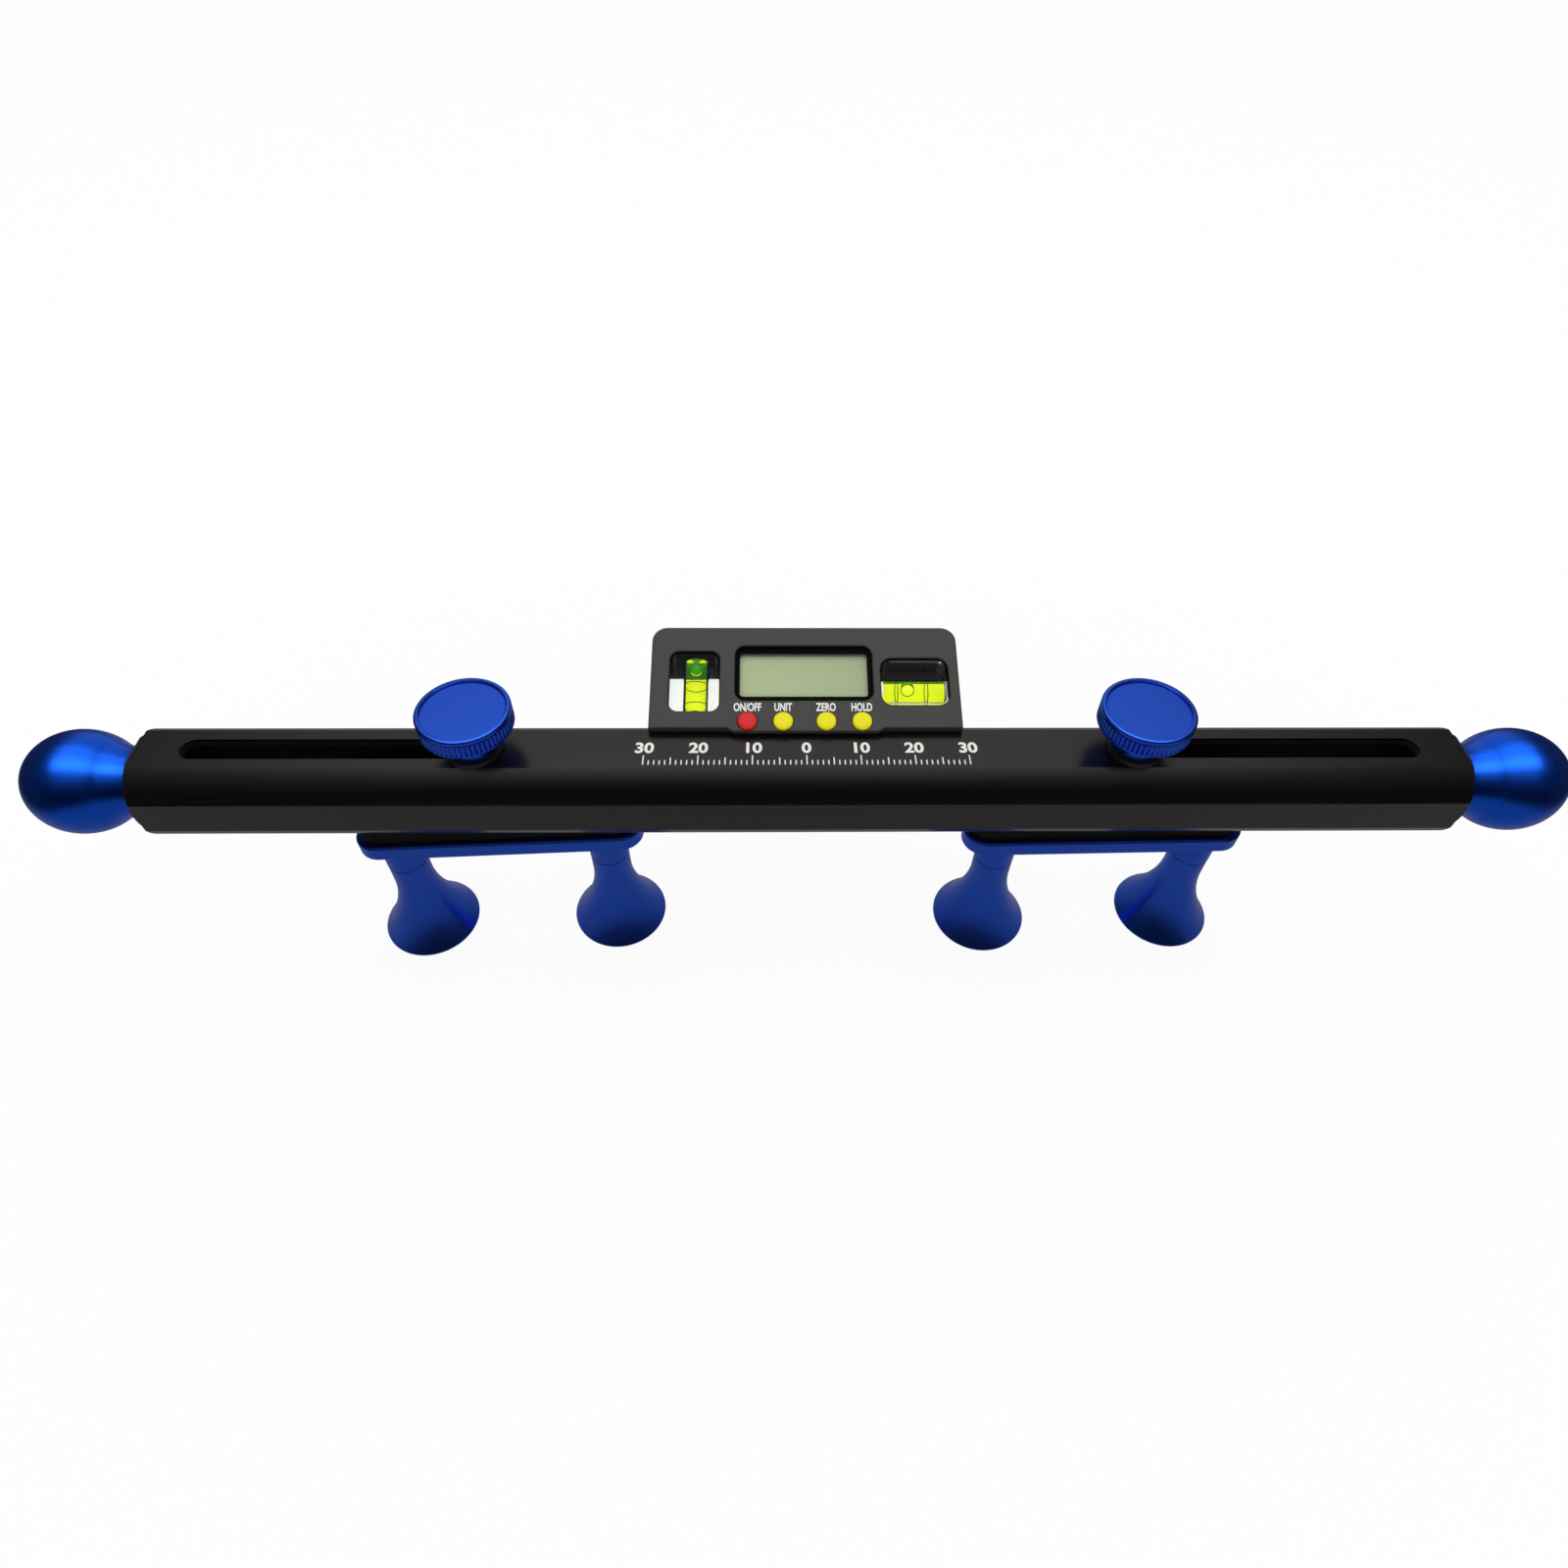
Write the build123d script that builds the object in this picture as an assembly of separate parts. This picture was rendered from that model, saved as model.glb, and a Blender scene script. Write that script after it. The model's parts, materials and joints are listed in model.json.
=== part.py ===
# Steering wheel level: a slotted round bar with ball ends that lies across a steering
# wheel on two sliding, swivelling brackets, with a digital level on its back.
# Millimetres. X runs along the bar, -Y faces the user, +Z is up, and the origin is on
# the ground under the middle of the whole tool.
from build123d import *
from math import cos, pi, radians, sin
import os

# Clearances shared by all pieces
OVERRUN = 1.0            # how far a cutter runs past the face it opens
REST_GAP = 0.3           # air between pieces that move past each other
SLIDE_CLEARANCE = 0.3    # slide block in the bore of the bar
RUNNING_CLEARANCE = 0.05  # shaft in a hole it turns in
FIT_CLEARANCE = 0.1      # fixed piece in its pocket

# Bar
BAR_D = 36.0
BAR_LENGTH = 443.0
FLAT_DEPTH = 2.25        # top and bottom flats, below the round
SIDE_FLAT_DEPTH = 1.15   # front and back flats, below the round
SLOT_WALL = 3.0          # wall under the flats, where the slots pass
BORE_D = 27.0
SEAT_DEPTH = 5.45        # flat for the level, below the round
SEAT_TILT = 19.0         # slope of the level's face, degrees
WEB_THICKNESS = 2.8      # metal left under the seat
BAR_END_ROUND = 0.5

# Slots and clamps
STUD_D = 8.0
STUD_PITCH = 1.25        # rise of the knob in one turn
SLOT_SIDE_GAP = 0.5      # stud to slot wall
CLAMP_X = 110.0          # clamp centre at rest
SLOT_END_MARGIN = 14.7   # bar end to the outer end of a slot
BLOCK_LENGTH = 18.0
BLOCK_WIDTH = 11.2
TONGUE_LENGTH = 10.0
TONGUE_DROP = 0.4        # tongue below the face of the flat
TONGUE_CLEARANCE = 0.2   # tongue to slot wall

# Brackets
LEFT_YAW = 2.7           # how far each bracket is swivelled at rest, degrees
RIGHT_YAW = 1.1
PLATE_LENGTH = 102.6
PLATE_WIDTH = 16.5
PLATE_THICKNESS = 6.0
PLATE_CHAMFER = 0.7
PAD_THICKNESS = 9.15
PAD_INSET = 2.3          # pad edge inside the plate edge
FOOT_SPACING = 75.0
BOSS_D = 14.5
BOSS_HEIGHT = 9.9
SEAM_EDGE = 0.3          # broken edges where a foot meets its boss

# Feet
FOOT_HEIGHT = 40.0
FOOT_D = 36.0
FOOT_RIM = 1.3           # rounded rim at the floor
FOOT_NECK_D = 14.3
FOOT_NECK_LENGTH = 8.0   # straight part below the seam
FOOT_BORE_D = 10.0
FOOT_FLOOR = 12.0        # solid length between seam and screw head
FOOT_SCREW_D = 5.0
FOOT_SCREW_HEAD_D = 8.5
FOOT_SCREW_HEAD = 5.0
FOOT_SCREW_GRIP = 11.0   # screw length inside boss and plate
HEX_KEY = 4.0

# Knobs
KNOB_D = 30.5
KNOB_RIM = 7.1
KNOB_HUB_D = 16.0
KNOB_HUB = 9.1
KNOB_RECESS_D = 26.8
KNOB_RECESS = 0.8
KNOB_LIP = 1.5           # smooth ring over the ribs
KNOB_FOOT_LIP = 0.9      # smooth ring under the ribs
KNOB_GROOVE = 0.5        # groove between ribs and top ring
KNOB_EDGE = 0.45
KNOB_ROUND = 1.0         # round over the outer edge of the top
RIB_COUNT = 60
RIB_DEPTH = 0.5
WASHER_D = 19.0
WASHER_THICKNESS = 1.6
WASHER_HOLE_GAP = 0.3
INSERT_D = 12.0
INSERT_LENGTH = 13.0
STUD_ENGAGEMENT = 11.0   # stud inside the insert

# Ball ends
BALL_D = 35.8
BALL_LENGTH = 37.2       # the ball is a little longer than wide
BALL_NECK = 4.1          # plug flange to the ball's inner pole
COLLAR_D = 24.0
COLLAR_LENGTH = 2.0
COLLAR_EDGE = 0.4
NECK_PULL = 6.0          # how far the neck's curve runs on along the collar's side
NECK_ANGLE = 55.0        # where the neck meets the ball, degrees from its inner pole
PLUG_LENGTH = 10.0
CAP_D = 33.0             # flange of the plug, outside the bar
CAP_THICKNESS = 1.0
CAP_STEP = 0.2           # flange below the bar's flats
CAP_EDGE = 0.3
BALL_STUD_D = 10.0
BALL_STUD_DEPTH = 14.0   # stud inside the ball

# Level case
LEVEL_WIDTH = 106.2
LEVEL_HEIGHT = 39.3
LEVEL_DEPTH = 24.0
LEVEL_FACE_RISE = 15.26  # face above the bar axis, square to the face
CASE_WALL = 2.0
CASE_CORNER = 5.3
CASE_FOOT_CORNER = 1.0
CASE_EDGE = 0.6
COVER_THICKNESS = 3.2
TAB_TOP_WIDTH = 53.4
TAB_SLOPE = 2.4          # how far each end of the tab runs in over its drop
TAB_DROP = 1.3
TAB_THICKNESS = 1.9
TAB_CORNER = 1.0

# Display
DISPLAY_POCKET_X = -0.4
DISPLAY_POCKET_RISE = 1.5  # middle of the pocket above the middle of the case
DISPLAY_POCKET_WIDTH = 47.4
DISPLAY_POCKET_HEIGHT = 21.3
DISPLAY_POCKET_CORNER = 3.6
POCKET_DEPTH = 2.6
POCKET_WALL = 1.0
DISPLAY_SIDE = 1.55      # glass seen beside the opening, left and right
DISPLAY_BELOW = 2.3      # glass seen below the opening
DISPLAY_ABOVE = 2.3      # and above it
DISPLAY_CORNER = 1.2
DISPLAY_FRAME = 0.8      # frame round the opening, at the bottom of the pocket
DISPLAY_MARGIN = 1.0     # panel past the opening on every side
LENS_THICKNESS = 0.8
PANEL_THICKNESS = 2.4

# Vials: clear blocks in windows, each with a bore for its liquid and bubble
LEFT_WINDOW_INSET = 6.5  # side of the case to the near side of a window
LEFT_WINDOW_WIDTH = 17.1
LEFT_WINDOW_RISE = -1.6  # middle of a window above the middle of the case
LEFT_WINDOW_HEIGHT = 23.05
LEFT_WINDOW_CORNER = 3.2
RIGHT_WINDOW_INSET = 3.7
RIGHT_WINDOW_WIDTH = 23.3
RIGHT_WINDOW_RISE = -1.8
RIGHT_WINDOW_HEIGHT = 18.05
RIGHT_WINDOW_CORNER = 4.0
WINDOW_EDGE = 0.4        # broken edge round each window and the display
VIAL_SET_BACK = 0.8      # front of a block below the face
VIAL_BLOCK_DEPTH = 10.4
VIAL_BLOCK_EDGE = 0.4
LEFT_BORE_D = 9.0
LEFT_BORE_SHIFT = 0.3    # bore to the right of the window's middle
LEFT_BORE_LENGTH = 20.0
RIGHT_BORE_D = 9.2
RIGHT_BORE_RISE = -1.7   # bore above the window's middle
RIGHT_BORE_LENGTH = 21.1
BORE_WALL = 0.8          # block left at the start of each bore
BUBBLE_D = 5.0
LEFT_BUBBLE = 17.3       # bubble centre along the bore
RIGHT_BUBBLE = 8.6
LIQUID_CLEARANCE = 0.05
LEFT_BACKING_STEP = 5.9  # backing's top below the top of its window
RIGHT_BACKING_STEP = 4.1
BACKING_THICKNESS = 0.8
HOLDER_WALL = 0.8

# Buttons
BUTTON_OUTER = 19.4      # button centres either side of the display's middle
BUTTON_INNER = 7.3
BUTTON_NAMES = ("power_button", "unit_button", "zero_button", "hold_button")
BUTTON_Y = 2.45
BUTTON_D = 6.6
BUTTON_GAP = 0.25
BUTTON_PROUD = 1.3
BUTTON_CROWN = 1.0
BUTTON_SUNK = 1.3
BUTTON_TRAVEL = 0.5
STEM_RISE = 1.9          # stem centre above the button centre
STEM_D = 2.2

# Electronics and battery
BOARD_WIDTH = 50.0
BOARD_BOTTOM = 3.1
BOARD_HEADROOM = 1.1     # board to the wall over it
BOARD_THICKNESS = 1.6
MAT_THICKNESS = 1.0
MAT_HEIGHT = 4.6
MAT_EDGE = 1.0           # mat past the outer stems
SENSOR_WIDTH = 8.0
SENSOR_HEIGHT = 6.0
SENSOR_THICKNESS = 3.0
SENSOR_DROP = 0.6        # sensor below the battery tray
CELL_D = 10.5
CELL_LENGTH = 44.5
CELL_GAP = 0.3
TRAY_WALL = 1.2
CONTACT_THICKNESS = 0.5
CONTACT_HEIGHT = 7.0
STRIP_WIDTH = 10.0
STRIP_LENGTH = 58.0
STRIP_THICKNESS = 2.0
STRIP_END = 4.0          # strip past the middle of each mounting screw
MOUNT_SCREW_SPACING = STRIP_LENGTH - 2 * STRIP_END
MOUNT_SCREW_D = 4.0
MOUNT_SCREW_HEAD_D = 6.5
MOUNT_SCREW_HEAD = 2.0
MOUNT_SCREW_BITE = 2.2   # screw length inside the bar
CASE_BOSS_D = 5.4
CASE_BOSS_INSET = 1.0    # boss centre inside the walls, past its own radius
CASE_SCREW_D = 2.5
CASE_SCREW_HEAD_D = 4.6
CASE_SCREW_HEAD = 1.4
CASE_SCREW_LENGTH = 9.0

# Battery door
DOOR_WIDTH = 48.0
DOOR_BOTTOM = 8.0
DOOR_THICKNESS = 1.5
DOOR_GAP = 0.15
DOOR_TONGUE = 1.0
DOOR_TONGUE_THICKNESS = 0.7
DOOR_OPENING_MARGIN = 1.6  # ledge between the opening and the door's edge
DOOR_GRIP_COUNT = 4
DOOR_GRIP_PITCH = 1.6
DOOR_GRIP_WIDTH = 14.0
DOOR_GRIP_DEPTH = 0.5

# Sizes that follow
FLAT = BAR_D / 2 - FLAT_DEPTH
SIDE_FLAT = BAR_D / 2 - SIDE_FLAT_DEPTH
SEAT = BAR_D / 2 - SEAT_DEPTH
BORE_FLAT = FLAT - SLOT_WALL
SLOT_WIDTH = STUD_D + 2 * SLOT_SIDE_GAP
SLOT_OUTER = BAR_LENGTH / 2 - SLOT_END_MARGIN
SLOT_INNER = CLAMP_X - TONGUE_LENGTH / 2 - SLOT_SIDE_GAP
PLATE_TOP = -FLAT - REST_GAP - PAD_THICKNESS
PLATE_BOTTOM = PLATE_TOP - PLATE_THICKNESS
SEAM = PLATE_BOTTOM - BOSS_HEIGHT
AXIS_Z = FOOT_HEIGHT - SEAM
WASHER_BOTTOM = FLAT + REST_GAP
HUB_BOTTOM = WASHER_BOTTOM + WASHER_THICKNESS + FIT_CLEARANCE
COVER_INSIDE = LEVEL_DEPTH - COVER_THICKNESS
FRAME_BACK = POCKET_DEPTH + DISPLAY_FRAME
BOARD_FRONT = FRAME_BACK + FIT_CLEARANCE + PANEL_THICKNESS
TRAY_FRONT = BOARD_FRONT + BOARD_THICKNESS + REST_GAP
CELL_AXIS = TRAY_FRONT + TRAY_WALL + CELL_D / 2
COVER_BOLT_Y = CASE_WALL + CASE_BOSS_D / 2 - CASE_BOSS_INSET
MOUNT_SCREW_Z = -LEVEL_FACE_RISE
VIAL_BLOCK_BACK = VIAL_SET_BACK + VIAL_BLOCK_DEPTH
BORE_DEPTH = (VIAL_SET_BACK + VIAL_BLOCK_BACK) / 2
BACKING_FRONT = VIAL_BLOCK_BACK + FIT_CLEARANCE
HOLDER_FRONT = CASE_WALL + FIT_CLEARANCE
CASE_MIDDLE = LEVEL_HEIGHT / 2
BUTTON_XS = [DISPLAY_POCKET_X + x for x in (-BUTTON_OUTER, -BUTTON_INNER, BUTTON_INNER, BUTTON_OUTER)]
LEFT_WINDOW_X = LEFT_WINDOW_INSET + LEFT_WINDOW_WIDTH / 2 - LEVEL_WIDTH / 2
RIGHT_WINDOW_X = LEVEL_WIDTH / 2 - RIGHT_WINDOW_INSET - RIGHT_WINDOW_WIDTH / 2
LEFT_WINDOW_TOP = CASE_MIDDLE + LEFT_WINDOW_RISE + LEFT_WINDOW_HEIGHT / 2
RIGHT_WINDOW_TOP = CASE_MIDDLE + RIGHT_WINDOW_RISE + RIGHT_WINDOW_HEIGHT / 2
LEFT_BORE_START = LEFT_WINDOW_TOP - LEFT_WINDOW_HEIGHT + BORE_WALL
RIGHT_BORE_START = RIGHT_WINDOW_X - RIGHT_WINDOW_WIDTH / 2 + BORE_WALL
LEFT_BACKING_TOP = LEFT_WINDOW_TOP - LEFT_BACKING_STEP
RIGHT_BACKING_TOP = RIGHT_WINDOW_TOP - RIGHT_BACKING_STEP
TILT = radians(SEAT_TILT)
LEVEL_BACK = (SEAT + LEVEL_HEIGHT) * cos(TILT) + (LEVEL_DEPTH - LEVEL_FACE_RISE) * sin(TILT)
FOOT_FRONT = FOOT_D / 2 + FOOT_SPACING / 2 * sin(radians(max(LEFT_YAW, RIGHT_YAW)))
AXIS_Y = (FOOT_FRONT - LEVEL_BACK) / 2

BAR_AXIS = Pos(0, AXIS_Y, AXIS_Z)
# Frame of the level: x along the bar, y up its face, z out of its face
LEVEL = BAR_AXIS * Rot(SEAT_TILT, 0, 0) * Pos(0, SEAT, LEVEL_FACE_RISE)

nodes = {}


def block(x0, x1, y0, y1, z0, z1):
    """A box between two opposite corners."""
    centre = Pos((x0 + x1) / 2, (y0 + y1) / 2, (z0 + z1) / 2)
    return centre * Box(abs(x1 - x0), abs(y1 - y0), abs(z1 - z0))


def rod(radius, z0, z1):
    """A cylinder along Z between two heights."""
    return Pos(0, 0, (z0 + z1) / 2) * Cylinder(radius, abs(z1 - z0))


def turned(*outline):
    """A solid turned about Z from an outline of radius and height."""
    return revolve(make_face(Plane.XZ * Polyline(*outline, close=True)), Axis.Z)


def bore_section(clearance):
    """Section of the bar's bore, drawn in by a clearance."""
    bore = Circle(BORE_D / 2 - clearance)
    between_flats = Rectangle(BORE_D, 2 * (BORE_FLAT - clearance))
    under_seat = SEAT - WEB_THICKNESS - clearance
    below_web = Rot(0, 0, SEAT_TILT) * Pos(under_seat - BORE_D / 2, 0) * Rectangle(BORE_D, 2 * BORE_D)
    return bore & between_flats & below_web


def bar():
    outside = Circle(BAR_D / 2) & Rectangle(2 * SIDE_FLAT, 2 * FLAT)
    body = extrude(Plane.YZ * outside, BAR_LENGTH / 2, both=True)
    ends = body.faces().sort_by(Axis.X)
    body = fillet(ends[0].edges() + ends[-1].edges(), BAR_END_ROUND)
    body -= extrude(Plane.YZ * bore_section(0), BAR_LENGTH / 2 + OVERRUN, both=True)
    slot_length = SLOT_OUTER - SLOT_INNER
    for side in (-1, 1):
        slot = extrude(SlotOverall(slot_length, SLOT_WIDTH), BAR_D, both=True)
        body -= Pos(side * (SLOT_OUTER + SLOT_INNER) / 2, 0, 0) * slot
    seat = Box(LEVEL_WIDTH + 2 * REST_GAP, BAR_D, 2 * BAR_D)
    body -= Rot(SEAT_TILT, 0, 0) * Pos(0, SEAT + BAR_D / 2, 0) * seat
    for side in (-1, 1):
        hole = Pos(side * MOUNT_SCREW_SPACING / 2, 0, LEVEL_FACE_RISE + MOUNT_SCREW_Z) * Rot(-90, 0, 0)
        depth = SEAT - WEB_THICKNESS - OVERRUN
        body -= Rot(SEAT_TILT, 0, 0) * hole * rod(MOUNT_SCREW_D / 2, depth, SEAT + OVERRUN)
    return BAR_AXIS * body


def end_plug(side):
    """A plug in the bore with a thin flange outside the end of the bar."""
    end = side * BAR_LENGTH / 2
    plug = extrude(Plane.YZ * bore_section(FIT_CLEARANCE), -side * PLUG_LENGTH)
    outline = Circle(CAP_D / 2) & Rectangle(CAP_D, 2 * (FLAT - CAP_STEP))
    cap = extrude(Plane.YZ * outline, side * CAP_THICKNESS)
    cap = chamfer(cap.faces().sort_by(Axis.X)[0 if side < 0 else -1].edges(), CAP_EDGE)
    hole = Rot(0, 90, 0) * rod(BALL_STUD_D / 2, -BAR_D, BAR_D)
    return BAR_AXIS * Pos(end, 0, 0) * (plug + cap - hole)


def ball_stud(side):
    length = PLUG_LENGTH + CAP_THICKNESS + BALL_NECK + BALL_STUD_DEPTH
    start = BAR_LENGTH / 2 - PLUG_LENGTH
    body = rod(BALL_STUD_D / 2, start, start + length)
    return BAR_AXIS * Rot(0, side * 90, 0) * body


def ball_end(side):
    """A collar, a hollow neck and a ball, turned as one outline."""
    collar = COLLAR_D / 2
    centre = BALL_NECK + BALL_LENGTH / 2
    angle = radians(NECK_ANGLE)
    meet = (BALL_D / 2 * sin(angle), centre - BALL_LENGTH / 2 * cos(angle))
    neck = collar - COLLAR_EDGE
    profile = Polyline((0, 0), (collar, 0), (collar, COLLAR_LENGTH - COLLAR_EDGE), (neck, COLLAR_LENGTH))
    profile += Bezier((neck, COLLAR_LENGTH), (neck, COLLAR_LENGTH + NECK_PULL), meet)
    profile += EllipticalCenterArc((0, centre), BALL_D / 2, BALL_LENGTH / 2, start_angle=NECK_ANGLE - 90,
                                   arc_size=180 - NECK_ANGLE)
    profile += Line((0, centre + BALL_LENGTH / 2), (0, 0))
    body = revolve(make_face(Plane.XZ * profile), Axis.Z)
    body -= rod(BALL_STUD_D / 2, -OVERRUN, BALL_NECK + BALL_STUD_DEPTH)
    return BAR_AXIS * Rot(0, side * 90, 0) * Pos(0, 0, BAR_LENGTH / 2 + CAP_THICKNESS) * body


def clamp_place(side):
    """The stud's axis, at the height of the bar axis."""
    return BAR_AXIS * Pos(side * CLAMP_X, 0, 0)


def bracket_place(side):
    """The clamp's place, swivelled with its bracket."""
    return clamp_place(side) * Rot(0, 0, LEFT_YAW if side < 0 else RIGHT_YAW)


def slide_block(side):
    place = clamp_place(side)
    section = bore_section(SLIDE_CLEARANCE) & Rectangle(BLOCK_WIDTH, BORE_D)
    body = extrude(Plane.YZ * section, BLOCK_LENGTH / 2, both=True)
    tongue = SlotOverall(TONGUE_LENGTH, SLOT_WIDTH - 2 * TONGUE_CLEARANCE)
    body += extrude(tongue, FLAT - TONGUE_DROP, both=True)
    body -= rod(STUD_D / 2 + RUNNING_CLEARANCE, -BAR_D, BAR_D)
    return place * body


def clamp_stud(side):
    place = clamp_place(side)
    return place * rod(STUD_D / 2, PLATE_BOTTOM, HUB_BOTTOM + STUD_ENGAGEMENT)


def bracket_plate(side):
    place = bracket_place(side)
    body = Pos(0, 0, PLATE_BOTTOM) * extrude(SlotOverall(PLATE_LENGTH, PLATE_WIDTH), PLATE_THICKNESS)
    body = chamfer(body.faces().sort_by(Axis.Z)[-1].edges(), PLATE_CHAMFER)
    boss = BOSS_D / 2
    for end in (-1, 1):
        spot = Pos(end * FOOT_SPACING / 2, 0, 0)
        body += spot * turned((0, SEAM), (boss - SEAM_EDGE, SEAM), (boss, SEAM + SEAM_EDGE),
                              (boss, PLATE_BOTTOM), (0, PLATE_BOTTOM))
        body -= spot * rod(FOOT_SCREW_D / 2, SEAM - OVERRUN, SEAM + FOOT_SCREW_GRIP)
    body -= rod(STUD_D / 2, PLATE_BOTTOM - OVERRUN, PLATE_TOP + OVERRUN)
    return place * body


def bracket_pad(side):
    place = bracket_place(side)
    outline = SlotOverall(PLATE_LENGTH - 2 * PAD_INSET, PLATE_WIDTH - 2 * PAD_INSET)
    body = Pos(0, 0, PLATE_TOP) * extrude(outline, PAD_THICKNESS)
    body -= rod(STUD_D / 2 + RUNNING_CLEARANCE, PLATE_BOTTOM, FLAT)
    return place * body


def foot(side, end):
    """A trumpet: straight neck, parabola flare and a rounded rim on the ground."""
    place = bracket_place(side)
    neck = FOOT_NECK_D / 2
    rim = FOOT_D / 2
    flare_top = -FOOT_NECK_LENGTH
    flare_end = FOOT_RIM - FOOT_HEIGHT
    profile = Polyline((0, -FOOT_HEIGHT), (0, 0), (neck - SEAM_EDGE, 0), (neck, -SEAM_EDGE),
                       (neck, flare_top))
    profile += Bezier((neck, flare_top), (neck, (flare_top + flare_end) / 2), (rim, flare_end))
    profile += Bezier((rim, flare_end), (rim, -FOOT_HEIGHT), (rim - FOOT_RIM, -FOOT_HEIGHT))
    profile += Line((rim - FOOT_RIM, -FOOT_HEIGHT), (0, -FOOT_HEIGHT))
    body = revolve(make_face(Plane.XZ * profile), Axis.Z)
    body -= rod(FOOT_BORE_D / 2, -FOOT_HEIGHT - OVERRUN, -FOOT_FLOOR)
    body -= rod(FOOT_SCREW_D / 2, -FOOT_HEIGHT, OVERRUN)
    return place * Pos(end * FOOT_SPACING / 2, 0, SEAM) * body


def foot_screws(side):
    place = bracket_place(side)
    body = rod(FOOT_SCREW_D / 2, -FOOT_FLOOR, FOOT_SCREW_GRIP)
    body += rod(FOOT_SCREW_HEAD_D / 2, -FOOT_FLOOR - FOOT_SCREW_HEAD, -FOOT_FLOOR)
    socket = extrude(RegularPolygon(HEX_KEY / 2, 6, major_radius=False), FOOT_SCREW_HEAD / 2)
    body -= Pos(0, 0, -FOOT_FLOOR - FOOT_SCREW_HEAD) * socket
    screws = [place * Pos(end * FOOT_SPACING / 2, 0, SEAM) * body for end in (-1, 1)]
    return Compound(children=screws)


def thrust_washer(side):
    place = clamp_place(side)
    body = rod(WASHER_D / 2, WASHER_BOTTOM, WASHER_BOTTOM + WASHER_THICKNESS)
    body -= rod(STUD_D / 2 + WASHER_HOLE_GAP, 0, HUB_BOTTOM + OVERRUN)
    return place * body


def knob_insert(side):
    place = clamp_place(side)
    body = rod(INSERT_D / 2, 0, INSERT_LENGTH) - rod(STUD_D / 2 + RUNNING_CLEARANCE, -OVERRUN, BAR_D)
    return place * Pos(0, 0, HUB_BOTTOM) * body


def clamp_knob(side):
    """Turned body with a lipped, recessed top and a band of ribs."""
    place = clamp_place(side)
    rim = KNOB_D / 2
    root = rim - RIB_DEPTH
    top = KNOB_HUB + KNOB_RIM
    foot_lip = KNOB_HUB + KNOB_FOOT_LIP
    groove = top - KNOB_LIP - KNOB_GROOVE
    recess = KNOB_RECESS_D / 2
    profile = Polyline((0, top - KNOB_RECESS), (0, 0), (KNOB_HUB_D / 2, 0), (KNOB_HUB_D / 2, KNOB_HUB),
                       (rim - KNOB_EDGE, KNOB_HUB), (rim, KNOB_HUB + KNOB_EDGE), (rim, foot_lip),
                       (root, foot_lip), (root, top - KNOB_LIP), (rim, top - KNOB_LIP),
                       (rim, top - KNOB_ROUND))
    profile += Bezier((rim, top - KNOB_ROUND), (rim, top), (rim - KNOB_ROUND, top))
    profile += Polyline((rim - KNOB_ROUND, top), (recess + KNOB_EDGE, top), (recess, top - KNOB_EDGE),
                        (recess, top - KNOB_RECESS), (0, top - KNOB_RECESS))
    body = revolve(make_face(Plane.XZ * profile), Axis.Z)
    # Each rib: share of its pitch along the rim, share of its depth
    rib_shares = ((0.0, 0.0), (0.25, 0.8), (0.4, 1.0), (0.6, 1.0), (0.75, 0.8))
    points = []
    for rib in range(RIB_COUNT):
        for along_share, height_share in rib_shares:
            angle = 2 * pi * (rib + along_share) / RIB_COUNT
            radius = root + RIB_DEPTH * height_share
            points.append((radius * cos(angle), radius * sin(angle)))
    band = extrude(make_face(Polyline(*points, close=True)), groove - foot_lip)
    body += Pos(0, 0, foot_lip) * band
    body -= rod(INSERT_D / 2, -OVERRUN, INSERT_LENGTH)
    return place * Pos(0, 0, HUB_BOTTOM) * body


def case_outline(inset):
    """Outline of the level's case without its tab, drawn in by an inset."""
    width = LEVEL_WIDTH - 2 * inset
    height = LEVEL_HEIGHT - 2 * inset
    outline = Pos(0, LEVEL_HEIGHT / 2) * Rectangle(width, height)
    corners = outline.vertices().sort_by(Axis.Y)
    outline = fillet(corners[2:], CASE_CORNER - inset)
    return outline


def window(x, rise, width, height, corner, gap=0):
    """A window with rounded corners, grown by a gap on every side."""
    shape = RectangleRounded(width + 2 * gap, height + 2 * gap, corner + gap)
    return Pos(x, CASE_MIDDLE + rise) * shape


def display_pocket(gap=0):
    return window(DISPLAY_POCKET_X, DISPLAY_POCKET_RISE, DISPLAY_POCKET_WIDTH, DISPLAY_POCKET_HEIGHT,
                  DISPLAY_POCKET_CORNER, gap)


def display_opening(gap=0):
    rise = DISPLAY_POCKET_RISE + (DISPLAY_BELOW - DISPLAY_ABOVE) / 2
    width = DISPLAY_POCKET_WIDTH - 2 * DISPLAY_SIDE
    height = DISPLAY_POCKET_HEIGHT - DISPLAY_BELOW - DISPLAY_ABOVE
    return window(DISPLAY_POCKET_X, rise, width, height, DISPLAY_CORNER, gap)


def left_window(gap=0):
    return window(LEFT_WINDOW_X, LEFT_WINDOW_RISE, LEFT_WINDOW_WIDTH, LEFT_WINDOW_HEIGHT,
                  LEFT_WINDOW_CORNER, gap)


def right_window(gap=0):
    return window(RIGHT_WINDOW_X, RIGHT_WINDOW_RISE, RIGHT_WINDOW_WIDTH, RIGHT_WINDOW_HEIGHT,
                  RIGHT_WINDOW_CORNER, gap)


def cut_window(outline, depth):
    """A cut through the face with a broken edge."""
    lip = loft([Pos(0, 0, -WINDOW_EDGE) * outline(0), Pos(0, 0, WINDOW_EDGE) * outline(2 * WINDOW_EDGE)])
    return sheet(outline(0), -depth, OVERRUN) + lip


def sheet(sketch, z0, z1):
    """A sketch in the face plane, made solid between two heights."""
    return Pos(0, 0, min(z0, z1)) * extrude(sketch, abs(z1 - z0))


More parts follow.
